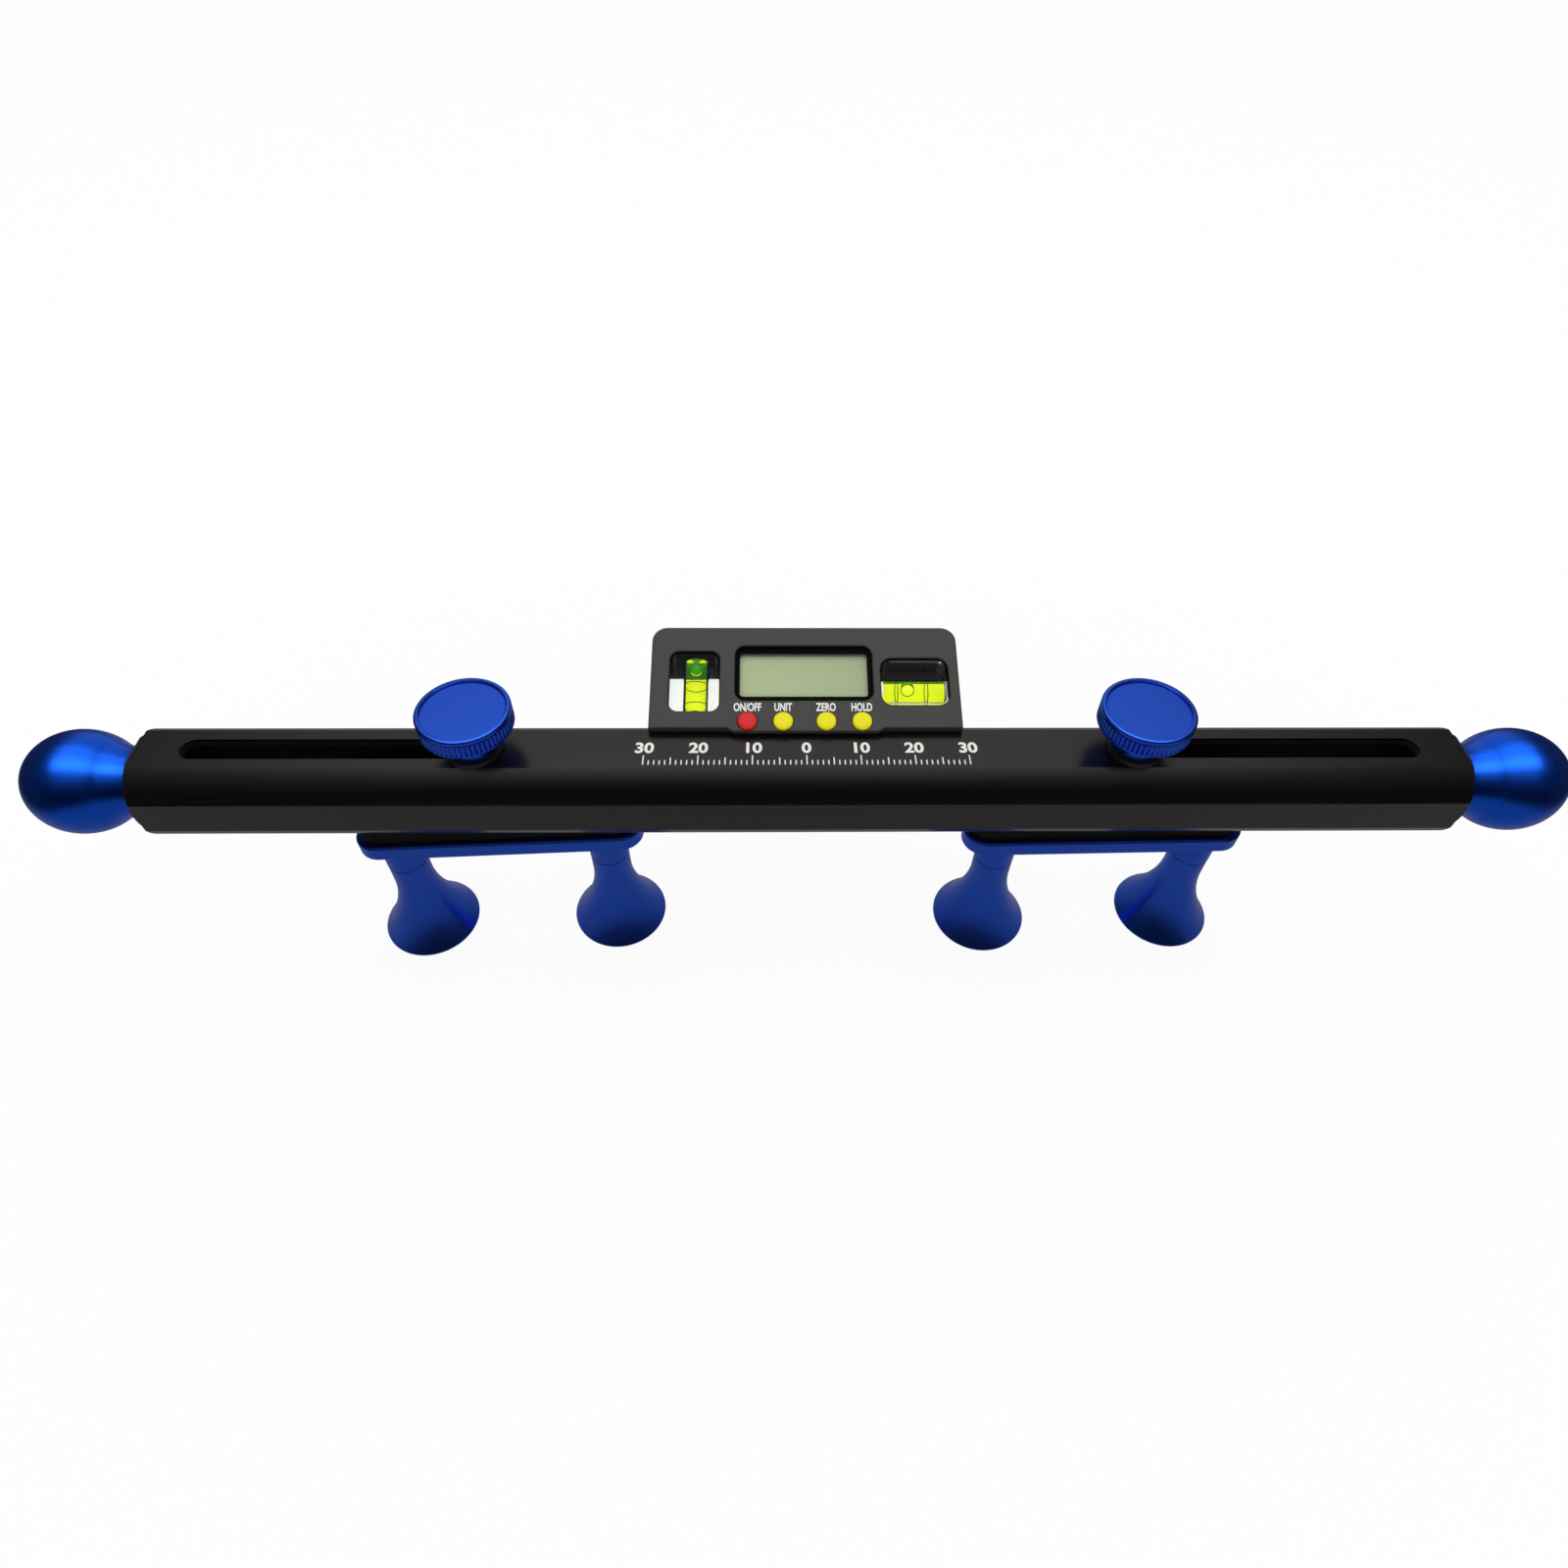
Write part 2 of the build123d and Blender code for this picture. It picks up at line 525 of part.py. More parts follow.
def case_screw_places():
    x = LEVEL_WIDTH / 2 - COVER_BOLT_Y
    for side in (-1, 1):
        yield Pos(side * x, COVER_BOLT_Y, 0)
        yield Pos(side * (x - CASE_CORNER / 2), LEVEL_HEIGHT - COVER_BOLT_Y, 0)


def front_housing():
    body = sheet(case_outline(0), -COVER_INSIDE, 0)
    tab_top_half = TAB_TOP_WIDTH / 2
    tab_half = tab_top_half - TAB_SLOPE
    tab = make_face(Polyline((-tab_half, -TAB_DROP), (tab_half, -TAB_DROP), (tab_top_half, 0),
                             (tab_top_half, CASE_WALL), (-tab_top_half, CASE_WALL), (-tab_top_half, 0),
                             close=True))
    tab = fillet(tab.vertices().sort_by(Axis.Y)[:2], TAB_CORNER)
    body += sheet(tab, -TAB_THICKNESS, 0)
    body = fillet(body.faces().sort_by(Axis.Z)[-1].outer_wire().edges(), CASE_EDGE)
    body -= sheet(case_outline(CASE_WALL), -COVER_INSIDE - OVERRUN, -CASE_WALL)
    body += sheet(display_pocket(POCKET_WALL), -FRAME_BACK, -CASE_WALL)
    for place in case_screw_places():
        boss = rod(CASE_BOSS_D / 2, -COVER_INSIDE, -CASE_WALL)
        body += place * boss & sheet(case_outline(CASE_WALL / 2), -COVER_INSIDE, 0)
        body -= place * rod(CASE_SCREW_D / 2, -COVER_INSIDE - OVERRUN, -COVER_INSIDE + CASE_SCREW_LENGTH)
    body -= cut_window(display_pocket, POCKET_DEPTH)
    body -= sheet(display_opening(), -FRAME_BACK - OVERRUN, OVERRUN)
    body -= cut_window(left_window, LEVEL_DEPTH / 2)
    body -= cut_window(right_window, LEVEL_DEPTH / 2)
    for x in BUTTON_XS:
        body -= Pos(x, BUTTON_Y, 0) * rod(BUTTON_D / 2 + BUTTON_GAP, -FRAME_BACK, OVERRUN)
    for side in (-1, 1):
        hole = Pos(side * MOUNT_SCREW_SPACING / 2, 0, MOUNT_SCREW_Z) * Rot(-90, 0, 0)
        body -= hole * rod(MOUNT_SCREW_D / 2 + RUNNING_CLEARANCE, -OVERRUN, CASE_WALL + OVERRUN)
    return LEVEL * body


def rear_cover():
    body = sheet(case_outline(0), -LEVEL_DEPTH, -COVER_INSIDE)
    body = chamfer(body.faces().sort_by(Axis.Z)[0].edges(), CASE_EDGE)
    for place in case_screw_places():
        body -= place * rod(CASE_SCREW_D / 2 + FIT_CLEARANCE, -LEVEL_DEPTH - OVERRUN, 0)
        body -= place * rod(CASE_SCREW_HEAD_D / 2, -LEVEL_DEPTH - OVERRUN, -LEVEL_DEPTH + CASE_SCREW_HEAD)
    half = DOOR_WIDTH / 2 + DOOR_GAP
    low = DOOR_BOTTOM - DOOR_GAP
    high = LEVEL_HEIGHT + OVERRUN
    floor = -LEVEL_DEPTH + DOOR_THICKNESS + DOOR_GAP
    body -= block(-half, half, low, high, -LEVEL_DEPTH - OVERRUN, floor)
    groove = half + DOOR_TONGUE
    groove_back = floor - DOOR_TONGUE_THICKNESS - 2 * DOOR_GAP
    body -= block(-groove, groove, low, high, groove_back, floor)
    ledge = DOOR_WIDTH / 2 - DOOR_OPENING_MARGIN
    body -= block(-ledge, ledge, DOOR_BOTTOM + DOOR_OPENING_MARGIN, LEVEL_HEIGHT - CASE_WALL,
                  -LEVEL_DEPTH - OVERRUN, 0)
    return LEVEL * body


def battery_door():
    half = DOOR_WIDTH / 2
    inside = -LEVEL_DEPTH + DOOR_THICKNESS
    body = block(-half, half, DOOR_BOTTOM, LEVEL_HEIGHT, -LEVEL_DEPTH, inside)
    tongue = half + DOOR_TONGUE - DOOR_GAP
    body += block(-tongue, tongue, DOOR_BOTTOM, LEVEL_HEIGHT - CASE_CORNER,
                  inside - DOOR_TONGUE_THICKNESS, inside)
    grip = DOOR_GRIP_WIDTH / 2
    grip_floor = -LEVEL_DEPTH + DOOR_GRIP_DEPTH
    for line in range(DOOR_GRIP_COUNT):
        y = LEVEL_HEIGHT - CASE_CORNER - line * DOOR_GRIP_PITCH
        body -= block(-grip, grip, y, y + DOOR_GRIP_PITCH / 2, -LEVEL_DEPTH - OVERRUN, grip_floor)
    return LEVEL * body


def case_screws():
    body = rod(CASE_SCREW_D / 2, -COVER_INSIDE + CASE_SCREW_LENGTH - FIT_CLEARANCE, -LEVEL_DEPTH)
    head = rod(CASE_SCREW_HEAD_D / 2 - FIT_CLEARANCE, -LEVEL_DEPTH, -LEVEL_DEPTH + CASE_SCREW_HEAD)
    return Compound(children=[LEVEL * place * (body + head) for place in case_screw_places()])


def mounting_strip():
    body = block(-STRIP_LENGTH / 2, STRIP_LENGTH / 2, CASE_WALL, CASE_WALL + STRIP_THICKNESS,
                 MOUNT_SCREW_Z - STRIP_WIDTH / 2, MOUNT_SCREW_Z + STRIP_WIDTH / 2)
    for side in (-1, 1):
        hole = Pos(side * MOUNT_SCREW_SPACING / 2, 0, MOUNT_SCREW_Z) * Rot(-90, 0, 0)
        body -= hole * rod(MOUNT_SCREW_D / 2 + RUNNING_CLEARANCE, 0, CASE_WALL + STRIP_THICKNESS + OVERRUN)
    return LEVEL * body


def mounting_screws():
    under_head = CASE_WALL + STRIP_THICKNESS
    body = rod(MOUNT_SCREW_D / 2, -MOUNT_SCREW_BITE, under_head)
    body += rod(MOUNT_SCREW_HEAD_D / 2, under_head, under_head + MOUNT_SCREW_HEAD)
    place = Rot(-90, 0, 0)
    spots = [Pos(side * MOUNT_SCREW_SPACING / 2, 0, MOUNT_SCREW_Z) for side in (-1, 1)]
    return Compound(children=[LEVEL * spot * place * body for spot in spots])


def display_window():
    return LEVEL * sheet(display_pocket(-FIT_CLEARANCE), -POCKET_DEPTH, -POCKET_DEPTH + LENS_THICKNESS)


def display_panel():
    return LEVEL * sheet(display_opening(DISPLAY_MARGIN), -BOARD_FRONT, -FRAME_BACK - FIT_CLEARANCE)


def left_bore():
    """Frame of the left bore: z up the face along the bore, x out of the face."""
    origin = (LEFT_WINDOW_X + LEFT_BORE_SHIFT, LEFT_BORE_START, -BORE_DEPTH)
    start = Plane(origin=origin, x_dir=(0, 0, 1), z_dir=(0, 1, 0))
    return LEVEL * start.location


def right_bore():
    """Frame of the right bore: z along the bar, x out of the face."""
    origin = (RIGHT_BORE_START, CASE_MIDDLE + RIGHT_WINDOW_RISE + RIGHT_BORE_RISE, -BORE_DEPTH)
    start = Plane(origin=origin, x_dir=(0, 0, 1), z_dir=(1, 0, 0))
    return LEVEL * start.location


def vial_block(sketch, place, diameter, length):
    """A clear block with a round bore, its front edges broken."""
    body = sheet(sketch, -VIAL_BLOCK_BACK, -VIAL_SET_BACK)
    body = chamfer(body.faces().sort_by(Axis.Z)[-1].edges(), VIAL_BLOCK_EDGE)
    return LEVEL * body - place * rod(diameter / 2, 0, length)


def vial_liquid(place, diameter, length, bubble, turn):
    """The liquid fills the bore round its bubble, which rises against the front wall."""
    body = place * rod(diameter / 2 - LIQUID_CLEARANCE, LIQUID_CLEARANCE, length - LIQUID_CLEARANCE)
    rise = (diameter - BUBBLE_D) / 2 - LIQUID_CLEARANCE - FIT_CLEARANCE
    return body - place * Rot(0, 0, turn) * Pos(rise, 0, bubble) * Sphere(BUBBLE_D / 2)


def vial_backing(sketch, top):
    """A white plate behind the lower part of a block."""
    below_top = Pos(0, top - LEVEL_HEIGHT / 2) * Rectangle(LEVEL_WIDTH, LEVEL_HEIGHT)
    return LEVEL * sheet(sketch & below_top, -BACKING_FRONT - BACKING_THICKNESS, -BACKING_FRONT)


def vial_holder(outside, inside):
    """A black tray that holds a block and its backing from behind."""
    floor = -BACKING_FRONT - BACKING_THICKNESS - FIT_CLEARANCE
    body = sheet(outside, floor - HOLDER_WALL, -HOLDER_FRONT)
    return LEVEL * (body - sheet(inside, floor, OVERRUN))


def button(x):
    """A round cap with a crowned top and a stem that reaches the button mat."""
    radius = BUTTON_D / 2
    shoulder = (radius, BUTTON_PROUD - BUTTON_CROWN)
    profile = Polyline((0, BUTTON_PROUD), (0, -BUTTON_SUNK), (radius, -BUTTON_SUNK), shoulder)
    profile += Bezier(shoulder, (radius, BUTTON_PROUD), (0, BUTTON_PROUD))
    body = revolve(make_face(Plane.XZ * profile), Axis.Z)
    body += Pos(0, STEM_RISE, 0) * rod(STEM_D / 2, -stem_end(), -BUTTON_SUNK)
    return LEVEL * Pos(x, BUTTON_Y, 0) * body


def stem_end():
    """Depth of a button's stem: it stops short of the mat by its travel and a gap."""
    return BOARD_FRONT - MAT_THICKNESS - BUTTON_TRAVEL - BUTTON_GAP


def button_mat():
    low = BUTTON_Y + STEM_RISE - STEM_D / 2
    reach = STEM_D / 2 + MAT_EDGE
    return LEVEL * block(BUTTON_XS[0] - reach, BUTTON_XS[-1] + reach, low, low + MAT_HEIGHT,
                         -BOARD_FRONT, -BOARD_FRONT + MAT_THICKNESS)


def circuit_board():
    top = LEVEL_HEIGHT - CASE_WALL - BOARD_HEADROOM
    return LEVEL * block(-BOARD_WIDTH / 2, BOARD_WIDTH / 2, BOARD_BOTTOM, top,
                         -BOARD_FRONT - BOARD_THICKNESS, -BOARD_FRONT)


def tilt_sensor():
    back = -BOARD_FRONT - BOARD_THICKNESS
    top = tray_bottom() - SENSOR_DROP
    return LEVEL * block(-SENSOR_WIDTH / 2, SENSOR_WIDTH / 2, top - SENSOR_HEIGHT, top,
                         back - SENSOR_THICKNESS, back)


def cell_heights():
    top = LEVEL_HEIGHT - CASE_WALL - CELL_GAP - CELL_D / 2
    return (top, top - CELL_D - CELL_GAP)


def tray_bottom():
    return cell_heights()[1] - CELL_D / 2 - CELL_GAP


def battery_cells():
    cells = []
    for y in cell_heights():
        body = Rot(0, 90, 0) * Cylinder(CELL_D / 2, CELL_LENGTH)
        cells.append(LEVEL * Pos(0, y, -CELL_AXIS) * body)
    return Compound(children=cells)


def battery_tray():
    top = LEVEL_HEIGHT - CASE_WALL - FIT_CLEARANCE
    low = tray_bottom()
    inner = CELL_LENGTH / 2 + CELL_GAP + CONTACT_THICKNESS
    outer = inner + TRAY_WALL
    back = -CELL_AXIS - CELL_D / 2
    body = block(-outer, outer, low, top, -TRAY_FRONT - TRAY_WALL, -TRAY_FRONT)
    for side in (-1, 1):
        body += block(side * inner, side * outer, low, top, back, -TRAY_FRONT)
    return LEVEL * body


def battery_contacts():
    inner = CELL_LENGTH / 2 + CELL_GAP
    contacts = []
    for side in (-1, 1):
        for y in cell_heights():
            half = CONTACT_HEIGHT / 2
            leaf = block(side * inner, side * (inner + CONTACT_THICKNESS), y - half, y + half,
                         -CELL_AXIS - half, -CELL_AXIS + half)
            contacts.append(LEVEL * leaf)
    return Compound(children=contacts)


LEFT_BORE = (left_bore(), LEFT_BORE_D, LEFT_BORE_LENGTH)
RIGHT_BORE = (right_bore(), RIGHT_BORE_D, RIGHT_BORE_LENGTH)

nodes["bar"] = bar()
for side, hand in ((-1, "left"), (1, "right")):
    nodes[hand + "_end_plug"] = end_plug(side)
    nodes[hand + "_ball_stud"] = ball_stud(side)
    nodes[hand + "_ball"] = ball_end(side)
    nodes[hand + "_slide_block"] = slide_block(side)
    nodes[hand + "_clamp_stud"] = clamp_stud(side)
    nodes[hand + "_bracket_plate"] = bracket_plate(side)
    nodes[hand + "_bracket_pad"] = bracket_pad(side)
    nodes[hand + "_outer_foot"] = foot(side, side)
    nodes[hand + "_inner_foot"] = foot(side, -side)
    nodes[hand + "_foot_screws"] = foot_screws(side)
    nodes[hand + "_thrust_washer"] = thrust_washer(side)
    nodes[hand + "_knob"] = clamp_knob(side)
    nodes[hand + "_knob_insert"] = knob_insert(side)
nodes["front_housing"] = front_housing()
nodes["rear_cover"] = rear_cover()
nodes["battery_door"] = battery_door()
nodes["case_screws"] = case_screws()
nodes["mounting_strip"] = mounting_strip()
nodes["mounting_screws"] = mounting_screws()
nodes["display_window"] = display_window()
nodes["display_panel"] = display_panel()
nodes["left_vial_block"] = vial_block(left_window(-FIT_CLEARANCE), *LEFT_BORE)
nodes["right_vial_block"] = vial_block(right_window(-FIT_CLEARANCE), *RIGHT_BORE)
nodes["left_vial_liquid"] = vial_liquid(*LEFT_BORE, LEFT_BUBBLE, 0)
nodes["right_vial_liquid"] = vial_liquid(*RIGHT_BORE, RIGHT_BUBBLE, -SEAT_TILT)
nodes["left_vial_backing"] = vial_backing(left_window(-FIT_CLEARANCE), LEFT_BACKING_TOP)
nodes["right_vial_backing"] = vial_backing(right_window(-FIT_CLEARANCE), RIGHT_BACKING_TOP)
nodes["left_vial_holder"] = vial_holder(left_window(HOLDER_WALL), left_window())
nodes["right_vial_holder"] = vial_holder(right_window(HOLDER_WALL), right_window())
for name, x in zip(BUTTON_NAMES, BUTTON_XS):
    nodes[name] = button(x)
nodes["button_mat"] = button_mat()
nodes["circuit_board"] = circuit_board()
nodes["tilt_sensor"] = tilt_sensor()
nodes["battery_cells"] = battery_cells()
nodes["battery_tray"] = battery_tray()
nodes["battery_contacts"] = battery_contacts()

os.makedirs("parts", exist_ok=True)
for name, shape in nodes.items():
    export_step(shape, f"parts/{name}.step")

whole = Compound(children=list(nodes.values())).bounding_box()
print(len(nodes), "nodes, box", whole.min, whole.max)
print("bar axis y, z:", AXIS_Y, AXIS_Z)
print("face directions: out", (0, -sin(TILT), cos(TILT)), "up", (0, cos(TILT), sin(TILT)))
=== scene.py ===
"""Dresses the steering wheel level: materials for every sub-part, the printed marks on the
level and the bar, the display's border, the ring bands and bubbles of the vials, the case
screws with their cross recesses, and a small photo studio.

It is laid out as an add-on and run as a script. All sizes are metres in the model's frame."""

import json
import math

import bmesh
import bpy
import numpy as np
from bpy.props import FloatProperty, FloatVectorProperty, IntProperty, PointerProperty
from mathutils import Matrix, Vector


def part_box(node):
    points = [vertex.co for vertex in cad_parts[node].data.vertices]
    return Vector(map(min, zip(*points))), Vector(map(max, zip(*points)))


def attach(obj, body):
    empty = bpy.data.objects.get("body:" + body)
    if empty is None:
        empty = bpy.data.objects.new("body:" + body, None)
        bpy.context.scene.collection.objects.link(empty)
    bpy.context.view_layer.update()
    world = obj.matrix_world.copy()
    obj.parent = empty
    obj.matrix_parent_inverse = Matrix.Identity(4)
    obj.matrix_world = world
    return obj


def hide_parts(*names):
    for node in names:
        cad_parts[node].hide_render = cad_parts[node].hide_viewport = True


bl_info = {
    "name": "Steering wheel level",
    "version": (1, 0, 0),
    "blender": (4, 5, 0),
    "location": "3D View > Sidebar > Wheel level",
    "description": "Finishes, printed marks, vial rings, case screws and studio for a steering wheel level",
    "category": "Object",
}

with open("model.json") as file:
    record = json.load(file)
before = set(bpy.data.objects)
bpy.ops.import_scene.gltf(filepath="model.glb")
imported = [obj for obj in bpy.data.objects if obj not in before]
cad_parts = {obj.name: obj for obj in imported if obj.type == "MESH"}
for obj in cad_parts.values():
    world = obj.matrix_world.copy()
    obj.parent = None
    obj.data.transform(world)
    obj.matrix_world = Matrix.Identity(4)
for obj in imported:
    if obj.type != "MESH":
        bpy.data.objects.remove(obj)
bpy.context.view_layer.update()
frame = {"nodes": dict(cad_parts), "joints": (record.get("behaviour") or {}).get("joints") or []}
NODES = frame["nodes"]
MM = 0.001


def corners(node):
    """Every vertex of a CAD node, as an array of points."""
    mesh = NODES[node].data
    points = np.zeros(len(mesh.vertices) * 3)
    mesh.vertices.foreach_get("co", points)
    return points.reshape(-1, 3)


def reach(node, direction):
    """How far a CAD node goes along a direction: lowest and highest."""
    along = corners(node) @ np.array(direction)
    return along.min(), along.max()


def joint(name):
    """A joint of the frame, by its name."""
    return next(one for one in frame["joints"] if one["name"] == name)


# The level's own directions: out of its face, up its face and along the bar
FACE_OUT = -np.array(joint("power_press")["axis"])
FACE_UP = np.array(joint("battery_door_slide")["axis"])
ALONG = np.array((1.0, 0.0, 0.0))
FACE_HEIGHT = reach("front_housing", FACE_OUT)[1]
FACE_FOOT = reach("rear_cover", FACE_UP)[0]
FACE_ORIGIN = FACE_OUT * FACE_HEIGHT + FACE_UP * FACE_FOOT

# The bar's top flat
BAR_LOW, BAR_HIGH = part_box("bar")
BAR_RISE = (BAR_HIGH.z - BAR_LOW.z) / 2     # the flat above the bar's axis
FLAT_CENTRE = np.array((0.0, (BAR_LOW.y + BAR_HIGH.y) / 2, BAR_HIGH.z))

# Materials that more than one operator gives
STEEL = "zinc plated steel, turned"
NYLON = "black nylon, moulded"
INK = "screen printing ink, white"

# Where the bar's bore and the painted shade on the case and the vial blocks begin
BORE_MARGIN = 0.35 * MM         # what lies deeper in the bar than this is its bore
CASE_WALL = 2.2 * MM            # the case's outer walls get no painted shade, over this width
SHADE_DEPTH = 0.3 * MM          # the window walls are painted with shade from here, below the face
BLOCK_SHADE_SKIN = 0.4 * MM           # the side of a vial block that is painted black as shade

# Grain: how finely its noise is broken up, and the values between which nearly all of it lies
NOISE_DETAIL = 3.0
NOISE_REACH = (0.3, 0.7)

# Painted light on the display's reflector: it is painted lighter towards its low left corner
PANEL_MIDDLE = 21 * MM              # above the case's lower edge
PANEL_PAINTED_FALL = (79 * MM, 55 * MM)     # across and up, for the whole change
PANEL_PAINTED_LIGHT = (0.85, 1.15)          # how light its two ends are

# A bubble's wall: the turn away from the eye where its painted dark rim, a painted reflection, begins and
# where it is full
BUBBLE_PAINTED_RIM = (0.35, 0.6)
BUBBLE_CLEARANCE = 0.04 * MM    # between a bubble and the liquid round it
BUBBLE_REACH = 0.9              # its hollow lies within this share of the liquid's radius
BUBBLE_ENDS = 0.25 * MM         # and keeps this far off the liquid's ends

# Meshes: points this close are made one, and steps of the round forms
MERGE_DISTANCE = 0.001 * MM
SHARP_ANGLE = math.radians(35)
TURN_STEPS = 96                 # a screw or a ring band
BUBBLE_STEPS = (48, 25)         # round and along a bubble
CORNER_STEPS = 12
SCREW_RINGS = 33                # from the middle of a screw's head to its rim
RIM_DEPTH = 0.05 * MM           # a screw's rim lies this near its hindmost point

# The cross recess: how steep its ends and sides are, and its share of the full depth, which
# falls by one along an arm and counts as one where it is more
RECESS_EDGE = 5
RECESS_TAPER = 1.3

# Lettering, as shares of a capital's height and of the letter size
CAPITAL_SHARE = 0.72
STROKE_SHARE = 0.045            # how much bolder the stroke is drawn
LETTER_STEPS = 6

# The bar's scale: marks at tens, fives and ones, from a foot below the flat's middle
NUMBER_STEP = 10
TEN_MARK, FIVE_MARK, ONE_MARK = 4.2 * MM, 3.2 * MM, 2.0 * MM
SCALE_FOOT = 7.3 * MM
NUMBER_RISE = 7.4 * MM          # the middle of a number above the marks' foot

# The photograph's camera: its focal length is in pixels of the 1600 pixel frame
SENSOR = 36.0
FOCAL_PIXELS = 991.49
FRAME_PIXELS = 1600
CAMERA_TURNS = (48.27, 1.56, 1.06)              # pitch, yaw and roll in degrees
CAMERA_STAND_OFF = (7.51, -11.86, 324.05)       # along its own axes, in millimetres
NEAR_CLIP = 10 * MM

# The studio: lamps, and how the floor and the room look in the tool's gloss
SOFTBOX = {"size": (3.2, 2.4), "place": (0.0, 0.3, 2.2), "target": (0, 0, 0.05)}
STRIP = {"size": (4.4, 1.3), "place": (0.0, -0.35, 3.0), "target": (0, 0, 0.08)}
FLOOR_WHITE = 0.92              # the share of the floor's look that is plain white
FLOOR_FADE = (0.34, 0.5)        # metres to each side between which its mirror image fades
FLOOR_REST = 0.03               # what is left of it there
WALL_FADE = (-0.9, -0.3)        # from the front towards the back, where the walls grow light
SIDE_FADE = (0.23, 0.65)        # to each side, where they grow dark
SIDE_REST = 0.08                # what is left of their light there


def linear(hex_colour):
    """An sRGB hex colour as linear red, green, blue and alpha, by the standard's own curve."""
    values = np.array([int(hex_colour[i:i + 2], 16) for i in (1, 3, 5)]) / 255
    low = values / 12.92
    high = ((values + 0.055) / 1.055) ** 2.4
    return (*np.where(values <= 0.04045, low, high), 1.0)


def colour(label, words, default):
    """A colour setting with its default as a hex colour."""
    return FloatVectorProperty(name=label, description=words, subtype="COLOR", size=4, min=0, max=1,
                               default=linear(default))


def length(label, words, default):
    """A length setting, in metres."""
    return FloatProperty(name=label, description=words, subtype="DISTANCE", unit="LENGTH",
                         default=default)


class FinishSettings(bpy.types.PropertyGroup):
    bar: colour("Bar", "Black anodised aluminium of the bar", "#0a0808")
    blue: colour("Blue", "Blue anodised aluminium of knobs, plates and feet", "#3363e7")
    ball: colour("Ball blue", "Blue anodised aluminium of the ball ends", "#1c61ee")
    case: colour("Case", "Moulded plastic of the level's case", "#363532")
    display: colour("Display", "Liquid crystal panel with nothing on it", "#a4b47c")
    liquid: colour("Liquid", "Dyed liquid of the vials", "#f8f514")
    # painted light: the colour of the glow painted on the liquid, which is no lamp
    glow: colour("Liquid painted glow", "Light that the dye gives back", "#1c5a16")
    red: colour("Power button", "Silicone cap of the power button", "#d81a12")
    yellow: colour("Other buttons", "Silicone caps of the other buttons", "#f0e802")
    ink: colour("Ink", "Screen printed marks", "#eeece6")


class PrintSettings(bpy.types.PropertyGroup):
    label_height: length("Label height", "Height of the words over the buttons", 3.0 * MM)
    label_rise: length("Label rise", "Middle of the words above the case's lower edge", 7.7 * MM)
    label_squeeze: FloatProperty(name="Label squeeze", description="Width of a word against its plain width",
                                 default=0.62, subtype="FACTOR", min=0.3, max=1.0)
    number_height: length("Number height", "Height of the numbers of the bar's scale", 4.6 * MM)
    scale_half: length("Scale half length", "Middle of the bar's scale to its last mark", 54.0 * MM)
    scale_steps: IntProperty(name="Scale steps", description="Numbered marks on each side of zero", default=3)
    mark_width: length("Mark width", "Width of a mark of the bar's scale", 0.42 * MM)
    ink_depth: length("Ink thickness", "How far the ink stands off its surface", 0.02 * MM)


class VialSettings(bpy.types.PropertyGroup):
    ring_width: length("Ring width", "Width of a black ring band", 0.32 * MM)
    ring_lift: length("Ring lift", "Ring band outside the liquid", 0.02 * MM)
    left_first: length("Left first ring", "First ring above the foot of the left liquid", 3.2 * MM)
    left_second: length("Left second ring", "Second ring above the foot of the left liquid", 11.1 * MM)
    right_first: length("Right first ring", "First ring from the left end of the right liquid", 4.9 * MM)
    right_second: length("Right second ring", "Second ring from the left end of the right liquid", 15.3 * MM)


class DisplaySettings(bpy.types.PropertyGroup):
    low: length("Opening foot", "Foot of the display's opening above the case's lower edge", 12.8 * MM)
    high: length("Opening top", "Top of the display's opening above the case's lower edge", 29.5 * MM)
    side: length("Side border", "Black border beside the display's opening", 1.5 * MM)
    corner: length("Opening corner", "Radius of the opening's corners", 1.2 * MM)
    lens_corner: length("Lens corner", "Radius of the lens's corners", 3.5 * MM)


class ScrewSettings(bpy.types.PropertyGroup):
    head_height: length("Head height", "Height of a screw's head", 1.4 * MM)
    shank_radius: length("Shank radius", "Radius of a screw's shank", 1.25 * MM)
    recess_width: length("Recess width", "Width of each arm of the cross recess", 0.75 * MM)
    recess_span: length("Recess span", "Cross recess from arm end to arm end", 2.9 * MM)
    recess_depth: length("Recess depth", "Deepest place of the cross recess", 0.9 * MM)
    crown: length("Crown", "Rise of the head over its rim", 0.25 * MM)


class StudioSettings(bpy.types.PropertyGroup):
    floor_front: length("Floor front", "Front edge of the floor, from the middle of the tool", 0.72)
    floor_side: length("Floor side", "Half the width of the floor", 4.0)
    floor_back: length("Floor back", "Back edge of the floor, from the middle of the tool", 9.0)
    softbox_power: FloatProperty(name="Softbox power", default=18.0, unit="POWER",
                                 description="Power of the overhead softbox")
    strip_power: FloatProperty(name="Strip power", default=25.0, unit="POWER",
                               description="Power of the overhead strip that the balls and knobs mirror")
    room_light: FloatProperty(name="Room light", default=0.72,
                              description="Even light of the room on the tool")
    room_shine: FloatProperty(name="Room shine", default=0.52,
                              description="Brightness of the walls that the tool's gloss mirrors")
    floor_shine: FloatProperty(name="Floor shine", default=0.27,
                               description="Brightness of the floor that the tool's gloss mirrors")


def settings(group):
    """A group of this add-on's settings, by its name."""
    return getattr(bpy.context.scene, "wheel_level_" + group)


def empty_tree(owner):
    """The node tree of a material or a world, with nothing in it."""
    owner.use_nodes = True
    owner.node_tree.nodes.clear()
    return owner.node_tree


